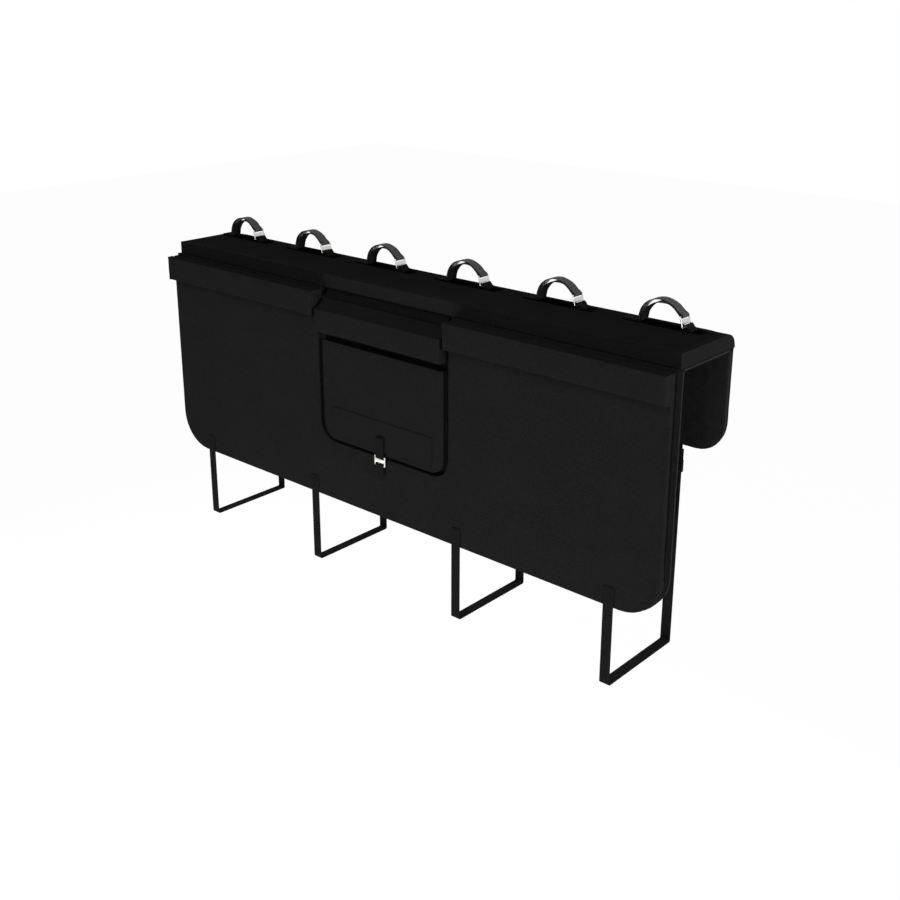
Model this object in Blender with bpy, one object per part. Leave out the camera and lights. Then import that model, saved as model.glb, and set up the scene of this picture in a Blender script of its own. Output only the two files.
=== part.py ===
"""A padded cover that hangs over a pickup's tailgate and carries six bicycles.

The top pad lies on the tailgate's upper edge, two pads hang down its outer face and one down its
inner face, and four webbing loops run under the tailgate to hold the cover down. Six webbing loops
on the top pad tie the bicycles' down tubes. A flap in the front opens to the tailgate's handle.

Metres. X runs along the tailgate, Y from its outer face towards the load bed, and Z up. The origin
is the middle of the face that lies on the tailgate's upper edge.
"""
import math

import bmesh
import bpy

# The tailgate's room and the pads
TAILGATE_ROOM = 0.1745
LENGTH = 1.524
SEAM = 0.0003
LINING = 0.004
TOP_THICKNESS = 0.0345
TOP_REAR_RADIUS = 0.033
INNER_PAD_THICKNESS = 0.019
INNER_PAD_STEP = 0.011
INNER_PAD_NOSE = 0.005
OUTER_PAD_THICKNESS = 0.0149
FRONT_DROP = 0.5212
FRONT_CORNER_RADIUS = 0.090
BACK_PAD_THICKNESS = 0.0119
BACK_DROP = 0.2227
BACK_CORNER_RADIUS = 0.065
LINING_HEM = 0.003
PAD_EDGE = 0.0022

# The two long bumpers and the flap between them
BUMPER_THICKNESS = 0.0191
BUMPER_HEIGHT = 0.0615
FLAP_OPENING_WIDTH = 0.410
FLAP_OPENING_DROP = 0.3682
FLAP_OPENING_RADIUS = 0.050
FLAP_SIDE_GAP = 0.011
FLAP_BOTTOM_GAP = 0.006
FLAP_HEM_INSET = 0.003
FLAP_SHEET = 0.002
FLAP_BUMPER_TOP = 0.0342
FLAP_BUMPER_HEIGHT = 0.059
FLAP_BUMPER_SIDE_GAP = 0.006
FLAP_FOLD_GAP = 0.021
FLAP_TUCK = 0.0040
NOTCH_DROP = 0.013
FLAP_COVE_POWER = 1.8
WINDOW_WIDTH = 0.350
WINDOW_TOP = 0.070
WINDOW_HEIGHT = 0.275
WINDOW_RADIUS = 0.030
PATCH_WIDTH = 0.320
PATCH_HEIGHT = 0.0745
PATCH_THICKNESS = 0.0012
PATCH_MARGIN = 0.012

# Webbing and the metal slides on it
WEBBING = 0.002
WEBBING_WIDTH = 0.0254
SLIDE_WIDTH = 0.035
SLIDE_HEIGHT = 0.0245
SLIDE_BAR = 0.003
SLIDE_SLOT = 0.0045
SLIDE_SLOT_WIDTH = 0.0268
SLIDE_THICKNESS = 0.002
PLATE_EDGE = 0.0004
FLAP_STRAP_TOP = 0.3152
FLAP_SLIDE_TOP = 0.3602
FLAP_KEEPER_END = 0.4092

# The loops for the bicycles' down tubes, on the top pad
LOOP_COUNT = 6
LOOP_SPACING = 0.2582
LOOP_ROW_SHIFT = -0.0162
LOOP_MIDDLE_Y = 0.0410
LOOP_BASE_LENGTH = 0.196
LOOP_BASE_WIDTH = 0.0274
LOOP_SPAN = 0.092
LOOP_RISE = 0.052
LOOP_SLACK = 0.0060
LOOP_SEWN_INSET = 0.010
LOOP_SLIDE_OVERHANG = 0.0085
LOOP_SLIDE_LIFT = 0.0181
LOOP_SLIDE_TILT = 15.0
KEEPER_HUMP = 0.0035

# The loops that run under the tailgate
UNDER_CENTRES = (-0.6446, -0.2322, 0.2322, 0.6446)
UNDER_BOTTOM = 0.7012
UNDER_FRONT_TOP = 0.4742
UNDER_BEND_RADIUS = 0.004
UNDER_TAIL = 0.045
TAB_WIDTH = 0.0306
TAB_TOP = 0.165
TAB_FOLD_TOP = 0.240
BUCKLE_TOP = 0.263
BUCKLE_WIDTH = 0.0345
BUCKLE_HEIGHT = 0.0285
BUCKLE_BAR = 0.0035
BUCKLE_SLOT = 0.0055
BUCKLE_SLOT_WIDTH = 0.0312
BUCKLE_THICKNESS = 0.0034

# Places that follow from the sizes above
HALF = LENGTH / 2
INNER_FACE = TAILGATE_ROOM / 2
LINING_BACK = INNER_FACE + LINING
INNER_PAD_Y = (-LINING_BACK - SEAM - INNER_PAD_THICKNESS, -LINING_BACK - SEAM)
OUTER_PAD_Y = (INNER_PAD_Y[0] - SEAM - OUTER_PAD_THICKNESS, INNER_PAD_Y[0] - SEAM)
BUMPER_Y = (OUTER_PAD_Y[0] - SEAM - BUMPER_THICKNESS, OUTER_PAD_Y[0] - SEAM)
BACK_PAD_Y = (LINING_BACK + SEAM, LINING_BACK + SEAM + BACK_PAD_THICKNESS)
TOP_Y = (INNER_PAD_Y[0] + INNER_PAD_STEP, BACK_PAD_Y[1])
TOP_UNDERSIDE = LINING + SEAM
TOP_SURFACE = TOP_UNDERSIDE + TOP_THICKNESS
UNDER_TOP_PAD = TOP_UNDERSIDE - SEAM
OUTER_PAD_TOP = TOP_UNDERSIDE
FLAP_SHEET_Y = INNER_PAD_Y[0] - SEAM - FLAP_SHEET / 2
FLAP_DOOR_Y = (OUTER_PAD_Y[0], FLAP_SHEET_Y - FLAP_SHEET / 2 - SEAM)
FLAP_WIDTH = FLAP_OPENING_WIDTH - 2 * FLAP_SIDE_GAP
FLAP_BOTTOM = -FLAP_OPENING_DROP + FLAP_BOTTOM_GAP
FLAP_RADIUS = FLAP_OPENING_RADIUS - FLAP_SIDE_GAP
FLAP_BUMPER_Z = (-FLAP_BUMPER_TOP - FLAP_BUMPER_HEIGHT, -FLAP_BUMPER_TOP)
FLAP_DOOR_TOP = FLAP_BUMPER_Z[0] - FLAP_FOLD_GAP
PATCH_Y = (FLAP_DOOR_Y[0] - SEAM - PATCH_THICKNESS, FLAP_DOOR_Y[0] - SEAM)
FRONT_WEBBING_Y = OUTER_PAD_Y[0] - SEAM - WEBBING / 2
LOOP_SEWN_END = LOOP_BASE_LENGTH / 2 - LOOP_SEWN_INSET
LOOP_SLIDE_SHIFT = LOOP_SPAN / 2 + LOOP_SLIDE_OVERHANG

MATERIALS = {
    "cover_fabric": ((0.0130, 0.0130, 0.0133), 0.85, 0.0),
    "lining_felt": ((0.0270, 0.0270, 0.0275), 0.95, 0.0),
    "webbing": ((0.0300, 0.0300, 0.0305), 0.75, 0.0),
    "hook_tape": ((0.0040, 0.0040, 0.0042), 0.95, 0.0),
    "slide_steel": ((0.6000, 0.6000, 0.6050), 0.25, 1.0),
    "buckle_plastic": ((0.0100, 0.0100, 0.0105), 0.45, 0.0),
}


def clear_scene():
    for thing in list(bpy.data.objects):
        bpy.data.objects.remove(thing)


def material(name):
    if name not in bpy.data.materials:
        colour, roughness, metallic = MATERIALS[name]
        made = bpy.data.materials.new(name)
        made.use_nodes = True
        shader = made.node_tree.nodes["Principled BSDF"]
        shader.inputs["Base Color"].default_value = (*colour, 1.0)
        shader.inputs["Roughness"].default_value = roughness
        shader.inputs["Metallic"].default_value = metallic
    return bpy.data.materials[name]


def add_object(name, bm, finish, location=(0.0, 0.0, 0.0), tilt=0.0):
    bmesh.ops.recalc_face_normals(bm, faces=bm.faces)
    mesh = bpy.data.meshes.new(name)
    bm.to_mesh(mesh)
    bm.free()
    thing = bpy.data.objects.new(name, mesh)
    thing.location = location
    thing.rotation_euler = (0.0, tilt, 0.0)
    mesh.materials.append(material(finish))
    bpy.context.scene.collection.objects.link(thing)
    return thing


def soften(thing, width):
    """Round all the edges of a sewn pad by a little."""
    bevel = thing.modifiers.new("soft_edge", "BEVEL")
    bevel.width = width
    bevel.segments = 1
    bevel.limit_method = "ANGLE"
    bevel.angle_limit = math.radians(40.0)
    return thing


def arc(centre, radius, start, end, steps):
    """Points on an arc, from one angle to another in degrees, both included."""
    turns = [math.radians(start + (end - start) * i / steps) for i in range(steps + 1)]
    return [(centre[0] + radius * math.cos(t), centre[1] + radius * math.sin(t)) for t in turns]


def hanging_outline(half_width, top, bottom, radius, steps=8):
    """A panel with square upper corners and round lower ones, seen from the front."""
    left = arc((-half_width + radius, bottom + radius), radius, 180.0, 270.0, steps)
    right = arc((half_width - radius, bottom + radius), radius, 270.0, 360.0, steps)
    return [(-half_width, top)] + left + right + [(half_width, top)]


def window_outline(half_width, top, bottom, radius, steps=5):
    """A hole with four round corners."""
    corners = (((half_width - radius, top - radius), 0.0), ((radius - half_width, top - radius), 90.0),
               ((radius - half_width, bottom + radius), 180.0), ((half_width - radius, bottom + radius), 270.0))
    return [point for centre, start in corners for point in arc(centre, radius, start, start + 90.0, steps)]


def panel(name, outline, y_range, finish, location=(0.0, 0.0, 0.0)):
    """A flat piece: an outline in X and Z, extruded along Y."""
    bm = bmesh.new()
    face = bm.faces.new([bm.verts.new((x, y_range[0], z)) for x, z in outline])
    grown = bmesh.ops.extrude_face_region(bm, geom=[face])
    moved = [item for item in grown["geom"] if isinstance(item, bmesh.types.BMVert)]
    bmesh.ops.translate(bm, verts=moved, vec=(0.0, y_range[1] - y_range[0], 0.0))
    return add_object(name, bm, finish, location)


def bar_stock(name, profile, x_range, finish):
    """A long piece of one section: a profile in Y and Z, extruded along X."""
    bm = bmesh.new()
    face = bm.faces.new([bm.verts.new((x_range[0], y, z)) for y, z in profile])
    grown = bmesh.ops.extrude_face_region(bm, geom=[face])
    moved = [item for item in grown["geom"] if isinstance(item, bmesh.types.BMVert)]
    bmesh.ops.translate(bm, verts=moved, vec=(x_range[1] - x_range[0], 0.0, 0.0))
    return add_object(name, bm, finish)


def cut(thing, cutter):
    """Take the cutter's shape out of the piece."""
    cutter.hide_render = True
    cutter.display_type = "WIRE"
    boolean = thing.modifiers.new("cut_" + cutter.name, "BOOLEAN")
    boolean.operation = "DIFFERENCE"
    boolean.object = cutter
    return thing


def offset_point(path, i, distance):
    """The path's point i, moved sideways with a mitre so that the ribbon keeps its thickness."""
    before = path[max(i - 1, 0)]
    here = path[i]
    after = path[min(i + 1, len(path) - 1)]
    first = (here[0] - before[0], here[1] - before[1])
    second = (after[0] - here[0], after[1] - here[1])
    if i == 0:
        first = second
    if i == len(path) - 1:
        second = first
    first_length = math.hypot(*first)
    second_length = math.hypot(*second)
    normal = (-first[1] / first_length - second[1] / second_length,
              first[0] / first_length + second[0] / second_length)
    size = math.hypot(*normal)
    reach = 2.0 * distance / size
    return (here[0] + normal[0] / size * reach, here[1] + normal[1] / size * reach)


def ribbon(name, path, width, thickness, place, finish, location=(0.0, 0.0, 0.0)):
    """Webbing or sheet that follows a path in one plane. place turns a path point and a distance
    across the webbing into a point in space."""
    bm = bmesh.new()
    rows = []
    for i in range(len(path)):
        sides = (offset_point(path, i, thickness / 2), offset_point(path, i, -thickness / 2))
        rows.append([bm.verts.new(place(side, -width / 2)) for side in sides])
    strip = [bm.faces.new((a[0], b[0], b[1], a[1])) for a, b in zip(rows, rows[1:])]
    grown = bmesh.ops.extrude_face_region(bm, geom=strip)
    moved = [item for item in grown["geom"] if isinstance(item, bmesh.types.BMVert)]
    near = place((0.0, 0.0), -width / 2)
    far = place((0.0, 0.0), width / 2)
    bmesh.ops.translate(bm, verts=moved, vec=[f - n for f, n in zip(far, near)])
    return add_object(name, bm, finish, location)


def across_y(point, side):
    """Paths drawn in X and Z, with the webbing's width along Y."""
    return (point[0], side, point[1])


def across_x(point, side):
    """Paths drawn in Y and Z, with the webbing's width along X."""
    return (side, point[0], point[1])


def smooth(points, steps):
    """A smooth curve through a few points, the ends included."""
    padded = [points[0]] + list(points) + [points[-1]]
    curve = []
    for a, b, c, d in zip(padded, padded[1:], padded[2:], padded[3:]):
        for i in range(steps):
            t = i / steps
            curve.append(tuple(0.5 * (2 * q + (r - p) * t + (2 * p - 5 * q + 4 * r - s) * t * t
                                      + (3 * q - p - 3 * r + s) * t * t * t)
                               for p, q, r, s in zip(a, b, c, d)))
    curve.append(tuple(points[-1]))
    return curve


def round_bar(centre, half_depth, half_height, corners, steps=3):
    """Webbing's middle line round a flat bar, past the corners named by their start angles."""
    radius = SEAM + WEBBING / 2
    path = []
    for start, end in corners:
        middle = math.radians((start + end) / 2)
        corner = (centre[0] + math.copysign(half_depth, math.cos(middle)),
                  centre[1] + math.copysign(half_height, math.sin(middle)))
        path += arc(corner, radius, start, end, steps)
    return path


def tilted(points, origin, degrees):
    """Points in a slide's own plane, brought to where the slide leans."""
    turn = math.radians(degrees)
    return [(origin[0] + x * math.cos(turn) - z * math.sin(turn),
             origin[1] + x * math.sin(turn) + z * math.cos(turn)) for x, z in points]


def ladder_plate(name, width, height, thickness, bar, slot, slot_width, finish, across, location, tilt=0.0):
    """A plate with a slot at each end, and a broad bar between the two slots."""
    columns = (-width / 2, -slot_width / 2, slot_width / 2, width / 2)
    rows = (-height / 2, bar - height / 2, bar + slot - height / 2,
            height / 2 - bar - slot, height / 2 - bar, height / 2)
    bm = bmesh.new()
    grid = [[bm.verts.new(across((-thickness / 2, z), side)) for side in columns] for z in rows]
    faces = []
    for row in range(len(rows) - 1):
        for column in range(len(columns) - 1):
            is_slot = column == 1 and row in (1, 3)
            if not is_slot:
                faces.append(bm.faces.new((grid[row][column], grid[row][column + 1],
                                           grid[row + 1][column + 1], grid[row + 1][column])))
    grown = bmesh.ops.extrude_face_region(bm, geom=faces)
    moved = [item for item in grown["geom"] if isinstance(item, bmesh.types.BMVert)]
    near = across((0.0, 0.0), 0.0)
    far = across((thickness, 0.0), 0.0)
    bmesh.ops.translate(bm, verts=moved, vec=[f - n for f, n in zip(far, near)])
    plate = add_object(name, bm, finish, location, tilt)
    bevel = plate.modifiers.new("rounded_edge", "BEVEL")
    bevel.width = PLATE_EDGE
    bevel.segments = 1
    bevel.limit_method = "ANGLE"
    return plate


def make_top_and_back():
    """The pad on the tailgate's edge, the pad on its inner face, and the felt that lines the channel."""
    rear = arc((TOP_Y[1] - TOP_REAR_RADIUS, TOP_SURFACE - TOP_REAR_RADIUS), TOP_REAR_RADIUS, 0.0, 90.0, 8)
    flat_side = [point for point in rear if point[1] > TOP_UNDERSIDE]
    profile = [(TOP_Y[0], TOP_UNDERSIDE), (TOP_Y[1], TOP_UNDERSIDE)] + flat_side + [(TOP_Y[0], TOP_SURFACE)]
    soften(bar_stock("top_pad", profile, (-HALF, HALF), "cover_fabric"), PAD_EDGE)
    outline = hanging_outline(HALF, UNDER_TOP_PAD, -BACK_DROP, BACK_CORNER_RADIUS)
    soften(panel("back_pad", outline, BACK_PAD_Y, "cover_fabric"), PAD_EDGE)
    edge = INNER_FACE - SEAM
    sheet = [(-edge, 0.0), (edge, 0.0), (edge, LINING), (-edge, LINING)]
    bar_stock("lining_top", sheet, (-HALF, HALF), "lining_felt")
    outline = hanging_outline(HALF, -SEAM, LINING_HEM - BACK_DROP, BACK_CORNER_RADIUS - LINING_HEM)
    panel("lining_back", outline, (INNER_FACE, LINING_BACK), "lining_felt")
    outline = hanging_outline(HALF, -SEAM, LINING_HEM - FRONT_DROP, FRONT_CORNER_RADIUS - LINING_HEM)
    lining = panel("lining_front", outline, (-LINING_BACK, -INNER_FACE), "lining_felt")
    cut(lining, window_cutter("lining_window", (-LINING_BACK, -INNER_FACE)))


def window_cutter(name, y_range):
    """The hole behind the flap, through which a hand reaches the tailgate's handle."""
    outline = window_outline(WINDOW_WIDTH / 2, -WINDOW_TOP, -WINDOW_TOP - WINDOW_HEIGHT, WINDOW_RADIUS)
    through = (y_range[0] - LINING, y_range[1] + LINING)
    return panel(name, outline, through, "cover_fabric")


def make_front():
    """The two pads on the tailgate's outer face, and the long bumpers along their upper edge."""
    notch = FLAP_OPENING_WIDTH / 2
    outline = hanging_outline(HALF, UNDER_TOP_PAD, -FRONT_DROP, FRONT_CORNER_RADIUS)
    outline += [(notch, UNDER_TOP_PAD), (notch, -NOTCH_DROP), (-notch, -NOTCH_DROP), (-notch, UNDER_TOP_PAD)]
    inner = panel("front_inner_pad", outline, INNER_PAD_Y, "cover_fabric")
    cut(inner, window_cutter("pad_window", INNER_PAD_Y))
    nose = (INNER_PAD_Y[0], TOP_Y[0] - SEAM)
    raise_noses(inner, nose, notch)
    radius = FLAP_OPENING_RADIUS
    bottom = -FLAP_OPENING_DROP + radius
    outline = hanging_outline(HALF, OUTER_PAD_TOP, -FRONT_DROP, FRONT_CORNER_RADIUS)
    outline += [(notch, OUTER_PAD_TOP)] + arc((notch - radius, bottom), radius, 0.0, -90.0, 6)
    outline += arc((radius - notch, bottom), radius, -90.0, -180.0, 6) + [(-notch, OUTER_PAD_TOP)]
    soften(panel("front_outer_pad", outline, OUTER_PAD_Y, "cover_fabric"), PAD_EDGE)
    for name, x_range in (("bumper_left", (-HALF, -notch)), ("bumper_right", (notch, HALF))):
        corners = ((BUMPER_Y[0], OUTER_PAD_TOP - BUMPER_HEIGHT), (BUMPER_Y[1], OUTER_PAD_TOP - BUMPER_HEIGHT),
                   (BUMPER_Y[1], OUTER_PAD_TOP), (BUMPER_Y[0], OUTER_PAD_TOP))
        soften(bar_stock(name, corners, x_range, "cover_fabric"), PAD_EDGE)


def raise_noses(inner, nose, notch):
    """The inner pad's upper edge stands a little higher in front of the top pad, beside the flap."""
    for side, x_range in (("left", (-HALF, -notch)), ("right", (notch, HALF))):
        rib = ((nose[0], 0.0), (nose[1], 0.0), (nose[1], UNDER_TOP_PAD + INNER_PAD_NOSE),
               (nose[0], UNDER_TOP_PAD + INNER_PAD_NOSE))
        guide = bar_stock("nose_" + side, rib, x_range, "cover_fabric")
        guide.hide_render = True
        guide.display_type = "WIRE"
        joined = inner.modifiers.new("nose_" + side, "BOOLEAN")
        joined.operation = "UNION"
        joined.object = guide


def make_flap():
    """The flap: a sheet sewn in under the top pad, with a bumper, a padded door and a strap on it."""
    top = UNDER_TOP_PAD - FLAP_SHEET / 2
    reach = TOP_Y[0] - FLAP_SHEET_Y
    fall = NOTCH_DROP + top
    fold = [(TOP_Y[0] - 0.10 * reach, top), (TOP_Y[0] - 0.50 * reach, top - 0.30 * fall),
            (TOP_Y[0] - 0.90 * reach, top - 0.70 * fall), (FLAP_SHEET_Y, top - fall)]
    hem = FLAP_BOTTOM + FLAP_HEM_INSET
    path = [(TOP_Y[0] + FLAP_TUCK, top)] + smooth(fold, 3)
    path += [(FLAP_SHEET_Y, hem + FLAP_RADIUS), (FLAP_SHEET_Y, hem)]
    sheet_width = FLAP_WIDTH - 2 * FLAP_HEM_INSET
    backing = ribbon("flap_backing", path, sheet_width, FLAP_SHEET, across_x, "cover_fabric")
    for side in (-1.0, 1.0):
        cut(backing, corner_cutter("hem_left" if side < 0 else "hem_right", side, sheet_width / 2, hem))
    outline = hanging_outline(FLAP_WIDTH / 2, FLAP_DOOR_TOP, FLAP_BOTTOM, FLAP_RADIUS, 6)
    soften(panel("flap_door", outline, FLAP_DOOR_Y, "cover_fabric"), PAD_EDGE)
    bumper = [(BUMPER_Y[0], FLAP_BUMPER_Z[0]), (FLAP_DOOR_Y[1], FLAP_BUMPER_Z[0])]
    bumper += cove((FLAP_DOOR_Y[1], top - fall - SEAM), (BUMPER_Y[0], FLAP_BUMPER_Z[1]), 6)
    half = FLAP_OPENING_WIDTH / 2 - FLAP_BUMPER_SIDE_GAP
    soften(bar_stock("flap_bumper", bumper, (-half, half), "cover_fabric"), PAD_EDGE)
    bottom = FLAP_BOTTOM + PATCH_MARGIN
    outline = hanging_outline(PATCH_WIDTH / 2, bottom + PATCH_HEIGHT, bottom, PATCH_MARGIN, 3)
    panel("flap_patch", outline, PATCH_Y, "cover_fabric")


def cove(back, front, steps):
    """The hollow upper side of the flap's bumper: steep at the back and level at its front edge."""
    shares = [i / steps for i in range(steps + 1)]
    return [(back[0] + (front[0] - back[0]) * s,
             front[1] + (back[1] - front[1]) * (1.0 - s) ** FLAP_COVE_POWER) for s in shares]


def corner_cutter(name, side, half_width, bottom):
    """What a round corner takes off the flap's sheet: a square less a quarter circle."""
    centre = (side * (half_width - FLAP_RADIUS), bottom + FLAP_RADIUS)
    start = 270.0
    end = 360.0 if side > 0 else 180.0
    quarter = arc(centre, FLAP_RADIUS, start, end, 6)
    beyond = FLAP_SIDE_GAP
    outline = quarter + [(side * (half_width + beyond), centre[1]), (side * (half_width + beyond), bottom - beyond),
                         (centre[0], bottom - beyond)]
    return panel(name, outline, (FLAP_SHEET_Y - FLAP_SHEET, FLAP_SHEET_Y + FLAP_SHEET), "cover_fabric")


def folded_end(bar, end_z, direction, layer_gap, back_y):
    """Webbing folded round a slide's bar, with both layers sewn down: a path in Y and Z. direction is
    1 where the fold hangs down from above and -1 where it stands up from below."""
    depth = SLIDE_THICKNESS / 2
    half = SLIDE_BAR / 2
    if direction > 0:
        turn = round_bar(bar, depth, half, ((360.0, 270.0), (270.0, 180.0)))
    else:
        turn = round_bar(bar, depth, half, ((0.0, 90.0), (90.0, 180.0)))
    front_y = back_y - layer_gap
    return [(back_y, end_z)] + turn + [(front_y, end_z)]


def make_flap_strap():
    """The short strap that holds the flap shut: webbing, a slide, and a keeper on the outer pad."""
    back_y = PATCH_Y[0] - SEAM - WEBBING / 2
    slide_y = back_y - WEBBING / 2 - SEAM - SLIDE_THICKNESS / 2
    layer_gap = SLIDE_THICKNESS + 2 * SEAM + WEBBING
    middle = -FLAP_SLIDE_TOP - SLIDE_HEIGHT / 2
    ladder_plate("flap_slide", SLIDE_WIDTH, SLIDE_HEIGHT, SLIDE_THICKNESS, SLIDE_BAR, SLIDE_SLOT,
                 SLIDE_SLOT_WIDTH, "slide_steel", across_x, (0.0, slide_y, middle))
    bar_offset = (SLIDE_HEIGHT - SLIDE_BAR) / 2
    strap = folded_end((slide_y, middle + bar_offset), -FLAP_STRAP_TOP, 1, layer_gap, back_y)
    ribbon("flap_strap", strap, WEBBING_WIDTH, WEBBING, across_x, "webbing")
    keeper = folded_end((slide_y, middle - bar_offset), -FLAP_KEEPER_END, -1, layer_gap, back_y)
    keeper[0] = (FRONT_WEBBING_Y, keeper[0][1])
    rise = (keeper[1][1] - keeper[0][1]) / 3
    keeper.insert(1, (FRONT_WEBBING_Y, keeper[0][1] + rise))
    ribbon("flap_keeper", keeper, WEBBING_WIDTH, WEBBING, across_x, "webbing")


def bike_loop_path(slide, base_top):
    """From its sewn end on the base the webbing rises as an arch, turns round the slide's upper bar and
    comes back over itself, with some slack between the two layers at the left."""
    floor = base_top + SEAM + WEBBING / 2
    left = -LOOP_SPAN / 2
    inside = left + WEBBING + LOOP_SLACK
    lay = WEBBING + SEAM
    top = floor + LOOP_RISE
    bar = (SLIDE_HEIGHT - SLIDE_BAR) / 2
    turn = round_bar((0.0, bar), SLIDE_THICKNESS / 2, SLIDE_BAR / 2, ((180.0, 270.0), (270.0, 360.0)))
    turn = tilted(turn, slide, LOOP_SLIDE_TILT)
    foot_bend = 3 * WEBBING
    arch = top - LOOP_SLACK - floor
    inner = [(inside - foot_bend, floor), (inside - 0.3 * foot_bend, floor + 0.35 * foot_bend),
             (inside, floor + 1.4 * foot_bend), (inside + 0.030 * LOOP_SPAN, floor + 0.42 * arch),
             (inside + 0.140 * LOOP_SPAN, floor + 0.72 * arch), (inside + 0.300 * LOOP_SPAN, floor + 0.93 * arch),
             (0.060 * LOOP_SPAN, floor + arch), (0.235 * LOOP_SPAN, floor + 0.985 * arch)]
    descent = [(0.355 * LOOP_SPAN, floor + 0.860 * arch), (0.455 * LOOP_SPAN, floor + 0.680 * arch)]
    lower = inner + descent + [turn[0]]
    upper = tilted([(SLIDE_THICKNESS / 2 + lay - WEBBING / 2, SLIDE_HEIGHT / 2 + WEBBING / 2)],
                   slide, LOOP_SLIDE_TILT)
    upper += [offset_point(lower, len(lower) - 2 - i, lay * (1.45 - 0.15 * i)) for i in range(3)]
    upper += [(0.060 * LOOP_SPAN, top), (-0.130 * LOOP_SPAN, top - 0.040 * arch),
              (-0.300 * LOOP_SPAN, top - 0.200 * arch), (-0.430 * LOOP_SPAN, top - 0.480 * arch),
              (left + 0.2 * WEBBING, floor + 0.30 * arch), (left, floor + SEAM + WEBBING)]
    rise = smooth(lower, 3)
    back = smooth([turn[-1]] + upper, 3)
    sewn = [(-LOOP_SEWN_END, floor)]
    return sewn + rise + turn[1:-1] + back


def keeper_path(slide, base_top):
    """A short strip sewn on the base goes under the slide's lower bar, round it and back over itself."""
    floor = base_top + SEAM + WEBBING / 2
    over = floor + WEBBING + SEAM
    bar = -(SLIDE_HEIGHT - SLIDE_BAR) / 2
    corners = ((270.0, 180.0), (180.0, 90.0), (90.0, 45.0))
    turn = tilted(round_bar((0.0, bar), SLIDE_THICKNESS / 2, SLIDE_BAR / 2, corners), slide, LOOP_SLIDE_TILT)
    hump = turn[-1][1] + KEEPER_HUMP
    run = LOOP_SEWN_END - turn[-1][0]
    under = [(LOOP_SEWN_END, floor), (turn[0][0] + 0.30 * run, floor)]
    back = [turn[-1], (turn[-1][0] + 0.16 * run, hump), (turn[-1][0] + 0.34 * run, hump - 0.20 * (hump - over)),
            (turn[-1][0] + 0.58 * run, over + 0.22 * (hump - over)), (turn[-1][0] + 0.76 * run, over),
            (LOOP_SEWN_END, over)]
    return smooth(under + [turn[0]], 3) + turn[1:-1] + smooth(back, 3)


def make_bike_loops():
    """Six arches of webbing along the top pad, each with a tape base, a slide and a keeper."""
    base_top = TOP_SURFACE + SEAM + WEBBING
    slide = (LOOP_SLIDE_SHIFT, TOP_SURFACE + LOOP_SLIDE_LIFT)
    half_base = LOOP_BASE_LENGTH / 2
    for number in range(LOOP_COUNT):
        middle = LOOP_ROW_SHIFT + (number - (LOOP_COUNT - 1) / 2) * LOOP_SPACING
        place = (middle, LOOP_MIDDLE_Y, 0.0)
        label = str(number + 1)
        flat = [(-half_base, TOP_SURFACE + SEAM + WEBBING / 2), (half_base, TOP_SURFACE + SEAM + WEBBING / 2)]
        ribbon("loop_base_" + label, flat, LOOP_BASE_WIDTH, WEBBING, across_y, "hook_tape", place)
        ribbon("bike_loop_" + label, bike_loop_path(slide, base_top), WEBBING_WIDTH, WEBBING,
               across_y, "webbing", place)
        ribbon("slide_keeper_" + label, keeper_path(slide, base_top), WEBBING_WIDTH, WEBBING,
               across_y, "webbing", place)
        spot = (middle + slide[0], LOOP_MIDDLE_Y, slide[1])
        ladder_plate("loop_slide_" + label, SLIDE_WIDTH, SLIDE_HEIGHT, SLIDE_THICKNESS, SLIDE_BAR, SLIDE_SLOT,
                     SLIDE_SLOT_WIDTH, "slide_steel", across_y, spot, -math.radians(LOOP_SLIDE_TILT))


def make_under_loops():
    """Four webbing loops that go under the tailgate, each from the outer pad to a buckle at the back."""
    tab_y = BACK_PAD_Y[1] + SEAM + WEBBING / 2
    layer = SEAM + WEBBING / 2 + BUCKLE_THICKNESS / 2
    buckle_y = tab_y + layer
    rear_y = buckle_y + layer
    floor = -UNDER_BOTTOM + WEBBING / 2
    radius = UNDER_BEND_RADIUS
    middle = -BUCKLE_TOP - BUCKLE_HEIGHT / 2
    bar_offset = (BUCKLE_HEIGHT - BUCKLE_BAR) / 2
    half = BUCKLE_BAR / 2
    depth = BUCKLE_THICKNESS / 2
    front_turn = arc((FRONT_WEBBING_Y + radius, floor + radius), radius, 180.0, 270.0, 4)
    rear_turn = arc((rear_y - radius, floor + radius), radius, 270.0, 360.0, 4)
    lock = round_bar((buckle_y, middle - bar_offset), depth, half, ((0.0, 90.0), (90.0, 180.0)))
    strap = [(FRONT_WEBBING_Y, -UNDER_FRONT_TOP)] + front_turn + rear_turn + lock
    strap += [(tab_y, middle - bar_offset - half - UNDER_TAIL)]
    hang = round_bar((buckle_y, middle + bar_offset), depth, half, ((180.0, 270.0), (270.0, 360.0)))
    tab = [(tab_y, -TAB_TOP)] + hang + [(rear_y, -TAB_FOLD_TOP)]
    for number, centre in enumerate(UNDER_CENTRES):
        label = str(number + 1)
        place = (centre, 0.0, 0.0)
        ribbon("under_loop_" + label, strap, WEBBING_WIDTH, WEBBING, across_x, "webbing", place)
        ribbon("rear_tab_" + label, tab, TAB_WIDTH, WEBBING, across_x, "webbing", place)
        ladder_plate("tail_buckle_" + label, BUCKLE_WIDTH, BUCKLE_HEIGHT, BUCKLE_THICKNESS, BUCKLE_BAR,
                     BUCKLE_SLOT, BUCKLE_SLOT_WIDTH, "buckle_plastic", across_x, (centre, buckle_y, middle))


def main():
    clear_scene()
    make_top_and_back()
    make_front()
    make_flap()
    make_flap_strap()
    make_bike_loops()
    make_under_loops()


main()
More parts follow.
